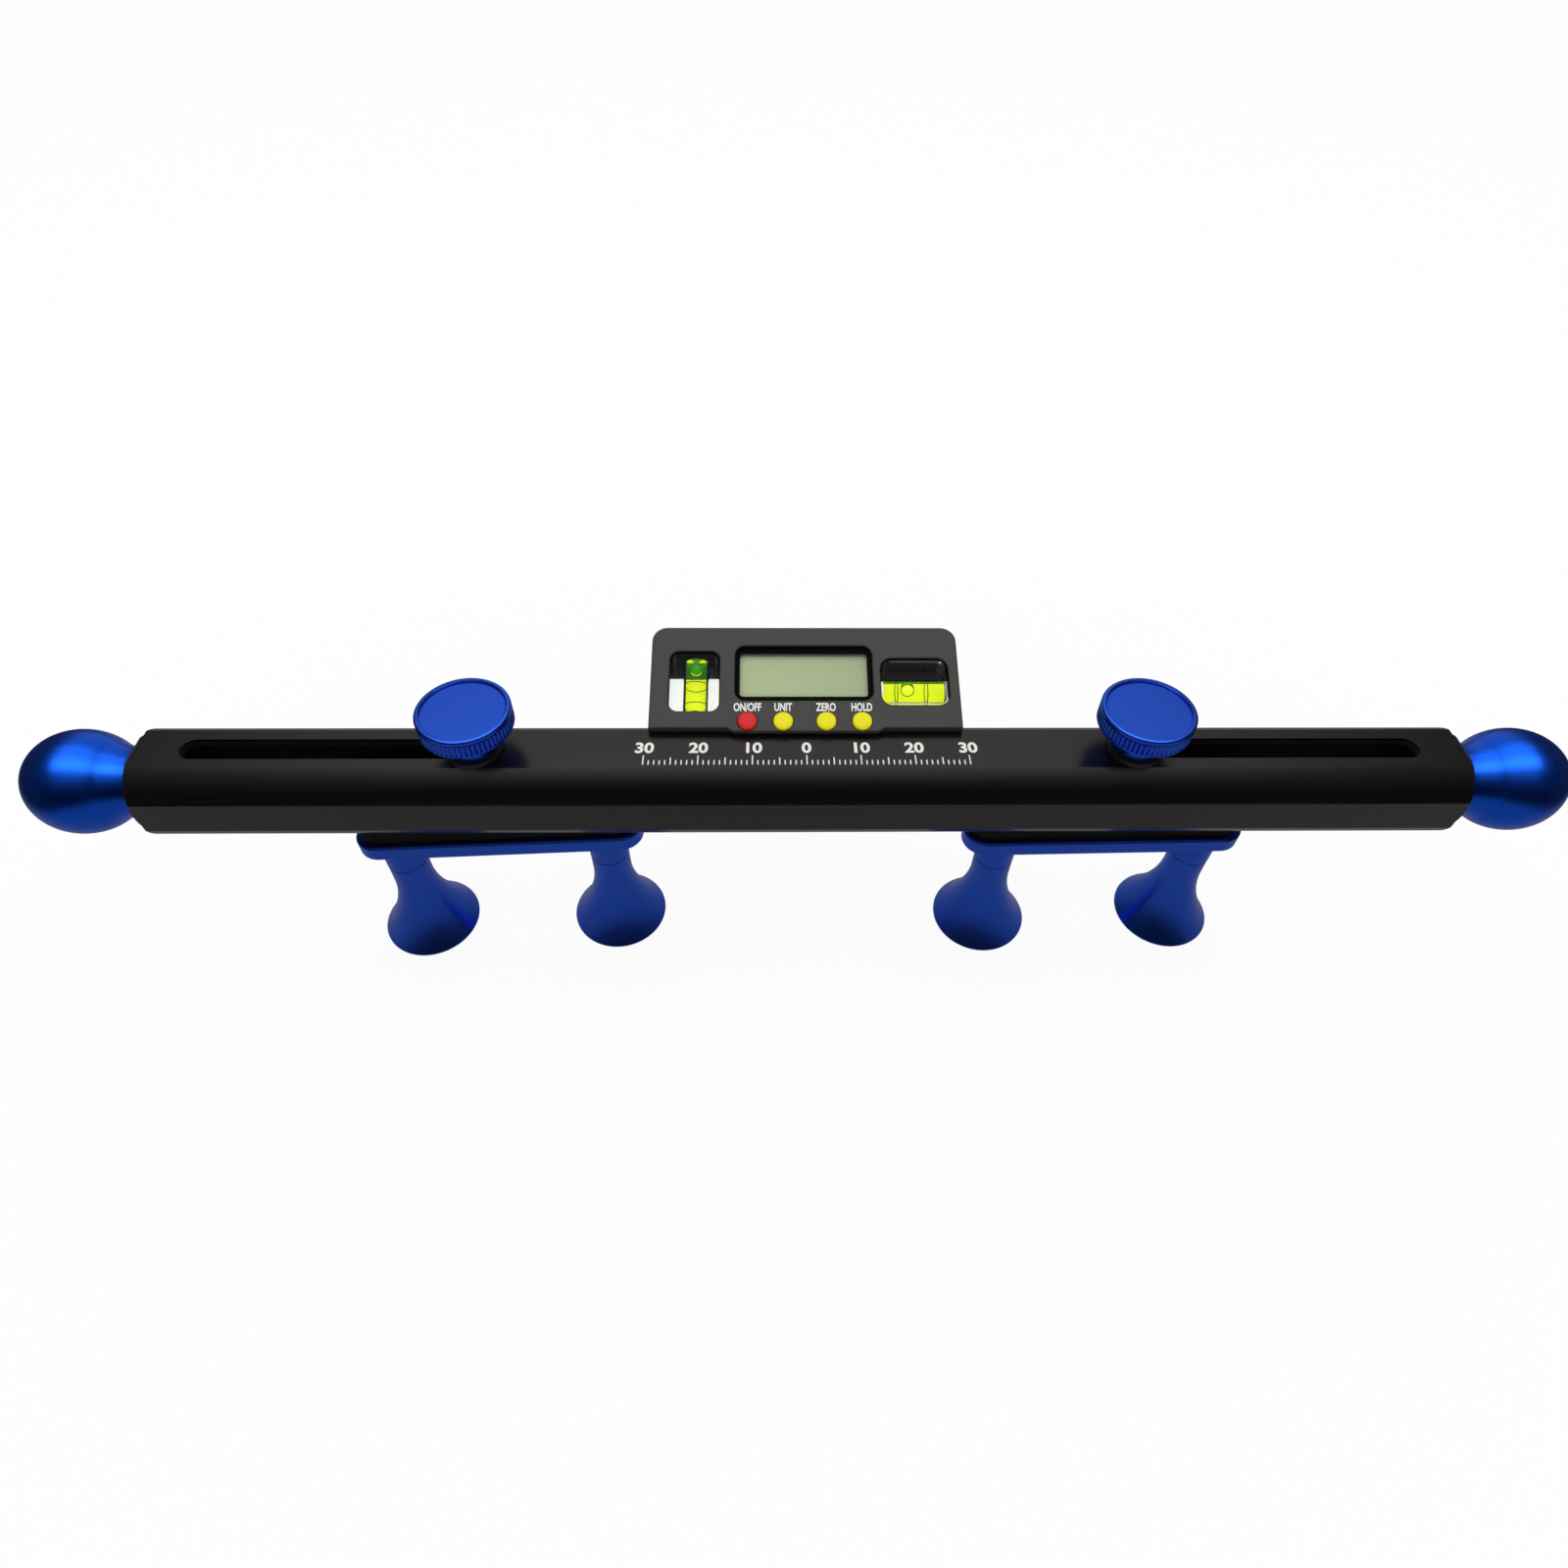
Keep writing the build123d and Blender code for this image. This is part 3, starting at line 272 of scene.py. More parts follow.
def add(tree, kind, links=(), **values):
    """Adds a node: its own settings by name, then each input as a value or a link."""
    made = tree.nodes.new(kind)
    for name, value in values.items():
        setattr(made, name, value)
    for name, value in dict(links).items():
        if isinstance(value, bpy.types.NodeSocket):
            tree.links.new(value, made.inputs[name])
        else:
            made.inputs[name].default_value = value
    return made


def maths(tree, operation, *values):
    """One step of arithmetic on numbers."""
    return add(tree, "ShaderNodeMath", dict(enumerate(values)), operation=operation).outputs["Value"]


def vectors(tree, operation, *values):
    """One step of arithmetic on vectors: its result is a vector, or else a number."""
    step = add(tree, "ShaderNodeVectorMath", dict(enumerate(values)), operation=operation)
    return step.outputs["Value" if operation in ("DOT_PRODUCT", "LENGTH") else "Vector"]


def mapped(tree, value, source, target=(0.0, 1.0), ease="LINEAR"):
    """A value carried from one range over to another and held at its ends."""
    ends = {"Value": value, "From Min": source[0], "From Max": source[1],
            "To Min": target[0], "To Max": target[1]}
    return add(tree, "ShaderNodeMapRange", ends, interpolation_type=ease).outputs["Result"]


def blend(tree, share, first, second, kind="RGBA"):
    """A mix of two colours, or of two numbers, by a share."""
    mixed = add(tree, "ShaderNodeMix", {"Factor": share, "A": first, "B": second}, data_type=kind)
    return mixed.outputs["Result"]


def feed(tree, shader, name, value):
    """Links a socket into one of a shader's inputs."""
    tree.links.new(value, shader.inputs[name])


def fed(shader, name):
    """The socket that one of a shader's inputs is linked to."""
    return shader.inputs[name].links[0].from_socket


def paint(tree, shader, share, rgba):
    """Lays an even colour over a shader's own where the share is one."""
    feed(tree, shader, "Base Color", blend(tree, share, fed(shader, "Base Color"), rgba))


def dull(tree, shader, share):
    """Makes a shader fully rough where the share is one."""
    feed(tree, shader, "Roughness", maths(tree, "MAXIMUM", fed(shader, "Roughness"), share))


def glow(shader, rgba, strength):
    """Makes a shader give off light of its own: painted light, for parts that are no lamp."""
    shader.inputs["Emission Color"].default_value = rgba
    shader.inputs["Emission Strength"].default_value = strength


def shade(rgba, factor):
    """A colour made lighter or darker by a factor."""
    return (rgba[0] * factor, rgba[1] * factor, rgba[2] * factor, 1.0)


def surface(name, rgba, spread, roughness, grain, depth, ior=1.5, metallic=0.0, stretch=(1, 1, 1)):
    """A finish with one grain: noise whose lumps measure the grain turns the colour by a
    spread, the roughness between two values and the height by a depth."""
    material = bpy.data.materials.new(name)
    tree = empty_tree(material)
    shader = add(tree, "ShaderNodeBsdfPrincipled", {"IOR": ior, "Metallic": metallic})
    add(tree, "ShaderNodeOutputMaterial", {"Surface": shader.outputs["BSDF"]})
    place = add(tree, "ShaderNodeTexCoord").outputs["Object"]
    lumps = tuple(1 / (grain * share) for share in stretch)
    scaled = add(tree, "ShaderNodeMapping", {"Vector": place, "Scale": lumps}).outputs["Vector"]
    noise = add(tree, "ShaderNodeTexNoise", {"Vector": scaled, "Scale": 1.0, "Detail": NOISE_DETAIL})
    value = noise.outputs["Fac"]
    bump = add(tree, "ShaderNodeBump", {"Height": value, "Distance": depth})
    feed(tree, shader, "Base Color", blend(tree, value, shade(rgba, 1 - spread), shade(rgba, 1 + spread)))
    feed(tree, shader, "Roughness", mapped(tree, value, NOISE_REACH, roughness))
    feed(tree, shader, "Normal", bump.outputs["Normal"])
    return material, tree, shader, place


def black_anodised_aluminium():
    """Extruded tube, brushed lengthwise and anodised black: a dark hard oxide with a soft,
    slightly warm mirror on it, drawn out along the bar by the brush lines. The bore isn't
    brushed, so it is dull: it is what lies nearer the bar's axis than its skin."""
    material, tree, shader, place = surface(
        "black anodised aluminium, extruded", settings("finish").bar, spread=0.25, roughness=(0.20, 0.27),
        grain=0.25 * MM, depth=0.003 * MM, ior=1.6, stretch=(120, 1, 1))
    axis = (0, FLAT_CENTRE[1], FLAT_CENTRE[2] - BAR_RISE)
    across = vectors(tree, "MULTIPLY", vectors(tree, "SUBTRACT", place, axis), (0, 1, 1))
    away = vectors(tree, "LENGTH", across)
    dull(tree, shader, maths(tree, "LESS_THAN", away, BAR_RISE - BORE_MARGIN))
    shader.inputs["Specular Tint"].default_value = linear("#fff3f4")
    return material


def blue_anodised_aluminium(name, rgba, roughness):
    """Turned aluminium, blasted or polished and then anodised blue: a coloured metal with a
    silky bloom, its grit drawn at 0.2 mm so that it shows."""
    return surface(name, rgba, spread=0.05, roughness=roughness, grain=0.2 * MM, depth=0.002 * MM,
                   metallic=1.0)[0]


def moulded_abs(name):
    """The level's case, moulded ABS from a spark-eroded tool: a fine even grain that breaks
    up its low gloss."""
    return surface(name, settings("finish").case, spread=0.13, roughness=(0.46, 0.58), grain=0.22 * MM,
                   depth=0.012 * MM, ior=1.53)


def front_with_painted_shade():
    """The case's front, in the same ABS. The walls of its windows and of the display's pocket are
    painted near black as painted shade in these recesses, from a little below the face and short of the
    case's sides."""
    material, tree, shader, place = moulded_abs("ABS, moulded with a fine grain, windows painted")
    low, high = reach("rear_cover", FACE_UP)
    middle = face_point(0.0, (low + high) / 2 - FACE_FOOT)
    half_width = reach("rear_cover", ALONG)[1] - CASE_WALL
    half_height = (high - low) / 2 - CASE_WALL
    offset = vectors(tree, "SUBTRACT", place, tuple(middle))
    inside = 1.0
    for direction, limit in ((ALONG, half_width), (FACE_UP, half_height)):
        away = maths(tree, "ABSOLUTE", vectors(tree, "DOT_PRODUCT", offset, tuple(direction)))
        inside = maths(tree, "MULTIPLY", maths(tree, "LESS_THAN", away, limit), inside)
    height = vectors(tree, "DOT_PRODUCT", offset, tuple(FACE_OUT))
    black = maths(tree, "MULTIPLY", maths(tree, "LESS_THAN", height, -SHADE_DEPTH), inside)
    # painted shade: near black deeper than the face in the windows and the display's pocket
    paint(tree, shader, black, linear("#030303"))
    dull(tree, shader, black)
    return material


def plain_plastic(name, rgba, roughness, ior, grain, depth):
    """A moulded plastic or rubber of one colour with its own grain."""
    return surface(name, rgba, spread=0.06, roughness=(roughness - 0.05, roughness + 0.05), grain=grain,
                   depth=depth, ior=ior)[0]


def machined_metal(name, rgba, roughness, stretch):
    """A bare metal with the lines of its machining, 0.15 mm apart."""
    return surface(name, rgba, spread=0.12, roughness=(roughness - 0.06, roughness + 0.06),
                   grain=0.15 * MM, depth=0.003 * MM, metallic=1.0, stretch=stretch)[0]


def polished_acrylic(hand, painted):
    """Cast acrylic, polished: clear, with sharp reflections on its front and edges. Its IOR
    is 1.49 in air, lowered here because the bore has no wall of its own. The sides that look
    in the given directions are painted black as painted shade, a dark reflection in place of
    the mirror image of the backing: they are what lies within a thin skin at the block's end there."""
    material, tree, shader, place = surface(
        f"acrylic, cast and polished, {hand} block", linear("#fbfdfb"), spread=0.0, roughness=(0.0, 0.03),
        grain=3 * MM, depth=0.0, ior=1.2)
    # painted shade: the sides near the block's ends in these directions are black and opaque, a painted dark
    # reflection
    black = 0.0
    for direction in painted:
        along = vectors(tree, "DOT_PRODUCT", place, tuple(direction))
        end = reach(hand + "_vial_block", direction)[1] - BLOCK_SHADE_SKIN
        black = maths(tree, "MAXIMUM", maths(tree, "GREATER_THAN", along, end), black)
    feed(tree, shader, "Transmission Weight", maths(tree, "SUBTRACT", 1.0, black))
    paint(tree, shader, black, linear("#040404"))
    return material


def clear_lens():
    """The display's thin lens: almost all light goes through it, and it only adds a gloss."""
    material, _, shader, _ = surface("polycarbonate lens, thin and clear", linear("#f4f7f2"), spread=0.0,
                                     roughness=(0.04, 0.08), grain=4 * MM, depth=0.0, ior=1.58)
    shader.inputs["Alpha"].default_value = 0.06
    return material


def vial_liquid():
    """Light spirit with a fluorescent dye: yellow over white, and over black the green
    that the dye itself gives back, which is painted light: a glow of its own."""
    material, _, shader, _ = surface("dyed spirit of the vials", settings("finish").liquid, spread=0.03,
                                     roughness=(0.02, 0.05), grain=5 * MM, depth=0.0, ior=1.12)
    shader.inputs["Transmission Weight"].default_value = 1.0
    # painted light: an emission that stands for the green that the dye gives back
    glow(shader, settings("finish").glow, strength=0.6)
    return material


def backing_with_painted_glow():
    """White ABS behind each acrylic block, which carries light to it from its whole front:
    its glow is painted light, an emission that stands for that light."""
    material, _, shader, _ = surface("ABS, white, behind acrylic", linear("#f4f4f4"), spread=0.02,
                                     roughness=(0.35, 0.45), grain=0.4 * MM, depth=0.0, ior=1.53)
    # painted light: the backing glows white though it is no lamp
    glow(shader, linear("#ffffff"), strength=0.7)
    return material


def painted_bubble_skin(name, middle):
    """The wall of an air bubble in a liquid, in painted light: where it faces the eye it is painted
    with what is behind, and where it turns away it is painted with the dark rim of total
    reflection. It glows in the same colours."""
    material, tree, shader, _ = surface(name, middle, spread=0.0, roughness=(0.03, 0.06), grain=3 * MM,
                                        depth=0.0, ior=1.2)
    facing = add(tree, "ShaderNodeLayerWeight", {"Blend": 0.5}).outputs["Facing"]
    # painted reflection: from the painted view of what is behind to a dark rim as the wall turns away
    tone = blend(tree, mapped(tree, facing, BUBBLE_PAINTED_RIM), middle, linear("#0a1c08"))
    feed(tree, shader, "Base Color", tone)
    # painted light: the wall glows in its painted colours
    feed(tree, shader, "Emission Color", tone)
    shader.inputs["Emission Strength"].default_value = 0.9
    return material


def border_ink():
    """Black ink printed on the display's lens round its opening: matt, with next to no gloss."""
    material, _, shader, _ = surface("screen printing ink, matt black", linear("#0a0a09"), spread=0.1,
                                     roughness=(0.8, 0.9), grain=0.3 * MM, depth=0.001 * MM)
    shader.inputs["Specular IOR Level"].default_value = 0.1
    return material


def display_panel():
    """Liquid crystal glass over a grey-green reflector of 0.12 mm flecks, painted a little lighter
    low and left as painted light."""
    material, tree, shader, place = surface(
        "liquid crystal panel, grey-green reflector", settings("finish").display, spread=0.03,
        roughness=(0.32, 0.38), grain=0.12 * MM, depth=0.001 * MM)
    # painted light: the base colour is scaled lighter towards the low left
    painted_light_line = -ALONG / PANEL_PAINTED_FALL[0] - FACE_UP / PANEL_PAINTED_FALL[1]
    offset = vectors(tree, "SUBTRACT", place, tuple(FACE_ORIGIN + FACE_UP * PANEL_MIDDLE))
    painted_fall = vectors(tree, "DOT_PRODUCT", offset, tuple(painted_light_line))
    light = mapped(tree, painted_fall, (-0.5, 0.5), PANEL_PAINTED_LIGHT)
    painted_lit = add(tree, "ShaderNodeVectorMath", {0: fed(shader, "Base Color"), "Scale": light}, operation="SCALE")
    feed(tree, shader, "Base Color", painted_lit.outputs["Vector"])
    return material


def circuit_board():
    """Epoxy glass board under green solder mask, with a faint weave of 0.6 mm."""
    return surface("epoxy glass board, green solder mask", linear("#0f5029"), spread=0.12,
                   roughness=(0.27, 0.33), grain=0.6 * MM, depth=0.01 * MM, ior=1.52)[0]


def give(material, *nodes):
    """Puts a material on CAD nodes in place of their own."""
    for node in nodes:
        slots = NODES[node].data.materials
        slots.clear()
        slots.append(material)


def both(*names):
    """The left and the right node of each name."""
    return [hand + "_" + name for name in names for hand in ("left", "right")]


def shown(name, data):
    """An object of the scene, from its mesh, curve, lamp or camera."""
    made = bpy.data.objects.new(name, data)
    bpy.context.scene.collection.objects.link(made)
    return made


def mesh_piece(name, points, faces, material, body):
    """A piece from points and faces, which rides on a body: points in one place are made
    one, faces turned outwards, and edges over 35 degrees kept sharp."""
    mesh = bpy.data.meshes.new(name)
    mesh.from_pydata(points.tolist(), [], faces.tolist())
    work = bmesh.new()
    work.from_mesh(mesh)
    bmesh.ops.remove_doubles(work, verts=work.verts, dist=MERGE_DISTANCE)
    bmesh.ops.dissolve_degenerate(work, edges=work.edges, dist=MERGE_DISTANCE / 2)
    bmesh.ops.recalc_face_normals(work, faces=work.faces)
    work.to_mesh(mesh)
    work.free()
    mesh.shade_smooth()
    mesh.set_sharp_from_angle(angle=SHARP_ANGLE)
    mesh.materials.append(material)
    piece = shown(name, mesh)
    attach(piece, body)
    return piece


def grid_faces(rows, columns, close_rows=False, close_columns=False):
    """Quads of a grid of points numbered row by row. A closed side joins its last line to
    its first."""
    row = np.arange(rows if close_rows else rows - 1)[:, None]
    column = np.arange(columns if close_columns else columns - 1)[None, :]
    next_row = (row + 1) % rows
    next_column = (column + 1) % columns
    quads = np.stack([row * columns + column, row * columns + next_column,
                      next_row * columns + next_column, next_row * columns + column], axis=-1)
    return quads.reshape(-1, 4)


def full_turn(steps):
    """Angles round a full turn, without its end."""
    return np.linspace(0, 2 * math.pi, steps, endpoint=False)


def face_point(across, up, out=0.0):
    """A point of the level's face: across it, up it and out of it."""
    return FACE_ORIGIN + ALONG * across + FACE_UP * up + FACE_OUT * out


def turn_to(right, up, origin):
    """The matrix that lays flat work, drawn right and up, on a surface."""
    out = np.cross(right, up)
    matrix = np.eye(4)
    matrix[:3, :3] = np.stack([right, up, out], axis=1)
    matrix[:3, 3] = origin
    return Matrix(matrix.tolist())


def printed_word(name, word, height, place, material, squeeze=1.0):
    """A word or number as a thin mesh of ink, centred on its place."""
    curve = bpy.data.curves.new(name, "FONT")
    curve.body = word
    curve.align_x = "CENTER"
    curve.align_y = "CENTER"
    curve.size = height / CAPITAL_SHARE
    curve.resolution_u = LETTER_STEPS
    curve.offset = STROKE_SHARE * height
    curve.extrude = settings("print").ink_depth / 2
    drawn = shown(name, curve)
    bpy.context.view_layer.update()
    mesh = bpy.data.meshes.new_from_object(drawn)
    bpy.data.objects.remove(drawn)
    mesh.transform(place @ Matrix.Diagonal((squeeze, 1, 1, 1)))
    mesh.name = name
    mesh.materials.clear()
    mesh.materials.append(material)
    piece = shown(name, mesh)
    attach(piece, "bar")
    return piece


class LEVEL_OT_bar(bpy.types.Operator):
    """Finishes the bar, its plugs, balls and studs"""
    bl_idname = "wheel_level.bar"
    bl_label = "Bar and balls"

    def execute(self, context):
        polished = blue_anodised_aluminium("blue anodised aluminium, turned and polished",
                                           settings("finish").ball, roughness=(0.27, 0.33))
        nylon = plain_plastic(NYLON, linear("#141414"), roughness=0.5, ior=1.53, grain=0.3 * MM,
                              depth=0.01 * MM)
        steel = machined_metal(STEEL, linear("#b9bbbf"), roughness=0.3, stretch=(1, 1, 40))
        give(black_anodised_aluminium(), "bar")
        give(polished, *both("ball"))
        give(nylon, *both("end_plug", "slide_block", "thrust_washer"))
        give(steel, *both("ball_stud", "clamp_stud", "foot_screws"))
        return {"FINISHED"}


class LEVEL_OT_brackets(bpy.types.Operator):
    """Finishes the plates, pads, feet and knobs"""
    bl_idname = "wheel_level.brackets"
    bl_label = "Brackets and knobs"

    def execute(self, context):
        blasted = blue_anodised_aluminium("blue anodised aluminium, turned and blasted",
                                          settings("finish").blue, roughness=(0.26, 0.33))
        rubber = plain_plastic("hard rubber, black", linear("#070708"), roughness=0.85, ior=1.4,
                               grain=0.4 * MM, depth=0.02 * MM)
        brass = machined_metal("brass, turned", linear("#c9a24a"), roughness=0.28, stretch=(1, 1, 1))
        give(blasted, *both("bracket_plate", "outer_foot", "inner_foot", "knob"))
        give(rubber, *both("bracket_pad"))
        give(brass, *both("knob_insert"))
        return {"FINISHED"}


def silicone(hue, rgba, roughness, depth):
    """Moulded silicone rubber of one colour."""
    return plain_plastic(f"silicone rubber, {hue}", rgba, roughness, ior=1.41, grain=0.5 * MM, depth=depth)


class LEVEL_OT_case(bpy.types.Operator):
    """Finishes the level's case, buttons, display and inside"""
    bl_idname = "wheel_level.case"
    bl_label = "Level case"

    def execute(self, context):
        finish = settings("finish")
        red = silicone("red", finish.red, roughness=0.45, depth=0.008 * MM)
        yellow = silicone("yellow", finish.yellow, roughness=0.45, depth=0.008 * MM)
        grey = silicone("grey", linear("#6d6e70"), roughness=0.6, depth=0.01 * MM)
        white = plain_plastic("ABS, white, moulded", linear("#f0f0ee"), roughness=0.4, ior=1.53,
                              grain=0.4 * MM, depth=0.006 * MM)
        sleeve = plain_plastic("battery sleeve, plain", linear("#2b2d33"), roughness=0.3, ior=1.5,
                               grain=2 * MM, depth=0.002 * MM)
        give(front_with_painted_shade(), "front_housing")
        give(moulded_abs("ABS, moulded with a fine grain")[0], "rear_cover", "battery_door")
        give(red, "power_button")
        give(yellow, "unit_button", "zero_button", "hold_button")
        give(clear_lens(), "display_window")
        give(display_panel(), "display_panel")
        give(circuit_board(), "circuit_board")
        give(grey, "button_mat")
        give(white, "battery_tray")
        give(sleeve, "battery_cells")
        give(bpy.data.materials[STEEL], "mounting_strip", "mounting_screws", "battery_contacts",
             "case_screws")
        give(bpy.data.materials[NYLON], "tilt_sensor", *both("vial_holder"))
        return {"FINISHED"}


def cross_screw(middle, radius, length):
    """A screw as rings of points about its axis. The top of its head is a polar grid: the
    height over the rim is the crown times one less the square of the radius share, less the
    recess, which is deepest at the middle and falls to nothing at the ends and sides of its
    arms. Below the rim the rings follow the outline of head, shank and point."""
    look = settings("screws")
    share = np.linspace(0, 1, SCREW_RINGS)[:, None]
    angle = full_turn(TURN_STEPS)[None, :]
    x, y = share * radius * np.cos(angle), share * radius * np.sin(angle)
    long_way = np.maximum(np.abs(x), np.abs(y)) / (look.recess_span / 2)
    short_way = np.minimum(np.abs(x), np.abs(y)) / (look.recess_width / 2)
    arm = np.clip((1 - long_way) * RECESS_EDGE, 0, 1) * np.clip((1 - short_way) * RECESS_EDGE, 0, 1)
    top = -look.crown * share ** 2 - look.recess_depth * arm * np.clip(RECESS_TAPER - long_way, 0, 1)
    shank = look.shank_radius
    outline = np.array(((radius, look.head_height), (shank, look.head_height), (shank, length - shank / 2),
                        (shank / 2, length), (0.0, length)))[:, :, None]
    lower = np.stack([outline[:, 0] * np.cos(angle), outline[:, 0] * np.sin(angle),
                      -outline[:, 1] * np.ones_like(angle)], axis=-1)
    points = np.concatenate([np.stack([x, y, top], axis=-1), lower]).reshape(-1, 3)
    placed = middle + points[:, :1] * ALONG - points[:, 1:2] * FACE_UP - points[:, 2:] * FACE_OUT
    return placed, grid_faces(SCREW_RINGS + len(outline), TURN_STEPS, close_columns=True)


class LEVEL_OT_case_screws(bpy.types.Operator):
    """Makes the four case screws with their cross recesses"""
    bl_idname = "wheel_level.case_screws"
    bl_label = "Case screws"

    def execute(self, context):
        steel = bpy.data.materials[STEEL]
        points = corners("case_screws")
        out = points @ FACE_OUT
        rims = points[out < out.min() + RIM_DEPTH]
        across, up = rims @ ALONG, rims @ FACE_UP
        screws = []
        for side, level in ((-1, -1), (1, -1), (-1, 1), (1, 1)):
            mine = rims[(np.sign(across) == side) & (np.sign(up - up.mean()) == level)]
            middle = (mine.min(axis=0) + mine.max(axis=0)) / 2
            screws.append(cross_screw(middle, np.ptp(mine @ ALONG) / 2, np.ptp(out)))
        count = len(screws[0][0])
        faces = np.concatenate([faces + count * number for number, (_, faces) in enumerate(screws)])
        placed = np.concatenate([placed for placed, _ in screws])
        piece = mesh_piece("case_screws_recessed", placed, faces, steel, "bar")
        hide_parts("case_screws")
        return {"FINISHED"}


def ring_band(name, vial, along, place, out, material):
    """A thin band round a vial's liquid: a rectangle, as wide as the band and as thick as
    its lift, carried round the vial's axis. Its place is measured from the liquid's start."""
    look = settings("vials")
    low, high = reach(vial, out)
    across = np.cross(along, out)
    start = reach(vial, along)[0]
    middle = out * (low + high) / 2 + across * sum(reach(vial, across)) / 2 + along * (start + place)
    turn = full_turn(TURN_STEPS)[None, :, None]
    step = np.array((-1, 1, 1, -1))[:, None, None] * look.ring_width / 2
    radius = (high - low) / 2 + np.array((0, 0, 1, 1))[:, None, None] * look.ring_lift
    points = middle + along * step + radius * (np.cos(turn) * out + np.sin(turn) * across)
    faces = grid_faces(4, TURN_STEPS, close_rows=True, close_columns=True)
    return mesh_piece(name, points.reshape(-1, 3), faces, material, "bar")


def bubble(name, vial, along, out, material):
    """An air bubble: a globe in the hollow that the vial's mesh has inside its own wall, its
    points worked out from two angles."""
    points = corners(vial)
    across = np.cross(along, out)
    low, high = reach(vial, out)
    first, last = reach(vial, along)
    axis = out * (low + high) / 2 + across * sum(reach(vial, across)) / 2
    offset = points - axis
    wall = np.hypot(offset @ out, offset @ across)
    place = points @ along
    within = wall < BUBBLE_REACH * (high - low) / 2
    inner = points[within & (place > first + BUBBLE_ENDS) & (place < last - BUBBLE_ENDS)]
    radius = np.ptp(inner @ along) / 2
    middle = axis + along * ((inner @ along).min() + radius)
    middle += out * ((inner @ out).min() - axis @ out + radius)
    round_steps, long_steps = BUBBLE_STEPS
    turn = full_turn(round_steps)[None, :, None]
    rise = np.linspace(-math.pi / 2, math.pi / 2, long_steps)[:, None, None]
    globe = np.sin(rise) * along + np.cos(rise) * (np.cos(turn) * out + np.sin(turn) * across)
    globe = middle + (radius - BUBBLE_CLEARANCE) * globe
    faces = grid_faces(long_steps, round_steps, close_columns=True)
    return mesh_piece(name, globe.reshape(-1, 3), faces, material, "bar")


class LEVEL_OT_vials(bpy.types.Operator):
    """Finishes the vials and adds their ring bands and bubbles"""
    bl_idname = "wheel_level.vials"
    bl_label = "Vials"

    def execute(self, context):
        # the directions in which each block's sides are painted black as shade
        give(polished_acrylic("left", (FACE_UP,)), "left_vial_block")
        give(polished_acrylic("right", (FACE_UP, ALONG)), "right_vial_block")
        give(vial_liquid(), *both("vial_liquid"))
        give(backing_with_painted_glow(), *both("vial_backing"))
        black = plain_plastic("ring paint, black", linear("#0a0a0a"), roughness=0.5, ior=1.5,
                              grain=0.2 * MM, depth=0.001 * MM)
        vials = settings("vials")
        # behind: the colour painted on each bubble as the view through it
        for hand, along, behind in (("left", FACE_UP, "#1f6a22"), ("right", ALONG, "#eef6a8")):
            liquid = hand + "_vial_liquid"
            skin = painted_bubble_skin(f"air bubble in the {hand} vial", linear(behind))
            for order in ("first", "second"):
                place = getattr(vials, f"{hand}_{order}")
                ring_band(f"{hand}_{order}_ring", liquid, along, place, FACE_OUT, black)
            bubble(hand + "_bubble", liquid, along, FACE_OUT, skin)
        return {"FINISHED"}


def ink():
    """Screen printing ink, cured: an even white film with a dull gloss."""
    return plain_plastic(INK, settings("finish").ink, roughness=0.5, ior=1.5, grain=0.3 * MM,
                         depth=0.001 * MM)


def rounded(width, height, radius):
    """A rectangle with round corners, as points about its middle: each corner is a quarter
    circle about a point that lies a radius in from both sides."""
    turn = np.linspace(0, math.pi / 2, CORNER_STEPS)
    quarter = np.arange(4)[:, None] * math.pi / 2 + turn
    signs = np.array(((1, 1), (-1, 1), (-1, -1), (1, -1)))[:, None, :]
    inner = signs * (np.array((width, height)) / 2 - radius)
    return (inner + radius * np.stack([np.cos(quarter), np.sin(quarter)], axis=-1)).reshape(-1, 2)


class LEVEL_OT_display_border(bpy.types.Operator):
    """Prints the black border round the display's opening on its lens"""
    bl_idname = "wheel_level.display_border"
    bl_label = "Display border"

    def execute(self, context):
        look = settings("display")
        left, right = reach("display_window", ALONG)
        low, high = np.array(reach("display_window", FACE_UP)) - FACE_FOOT
        front = reach("display_window", FACE_OUT)[1] - FACE_HEIGHT
        lens = rounded(right - left, high - low, look.lens_corner)
        opening = rounded(right - left - 2 * look.side, look.high - look.low, look.corner)
        inner, outer = (opening, (look.low + look.high) / 2), (lens, (low + high) / 2)
        top = settings("print").ink_depth
        rings = []
        for (flat, middle), rise in ((inner, 0.0), (outer, 0.0), (outer, top), (inner, top)):
            ring = flat[:, :1] * ALONG + flat[:, 1:] * FACE_UP
            rings.append(ring + face_point((left + right) / 2, middle, front + rise))
        points = np.stack(rings)
        faces = grid_faces(4, points.shape[1], close_rows=True, close_columns=True)
        mesh_piece("display_border", points.reshape(-1, 3), faces, border_ink(), "bar")
        return {"FINISHED"}


class LEVEL_OT_labels(bpy.types.Operator):
    """Prints the words over the buttons"""
    bl_idname = "wheel_level.labels"
    bl_label = "Button labels"

    def execute(self, context):
        white = ink()
        marks = settings("print")
        words = {"power_button": "ON/OFF", "unit_button": "UNIT", "zero_button": "ZERO",
                 "hold_button": "HOLD"}
        for button, word in words.items():
            low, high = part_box(button)
            middle = face_point((low.x + high.x) / 2, marks.label_rise, marks.ink_depth / 2)
            place = turn_to(ALONG, FACE_UP, middle)
            printed_word(button + "_label", word, marks.label_height, place, white, marks.label_squeeze)
        return {"FINISHED"}


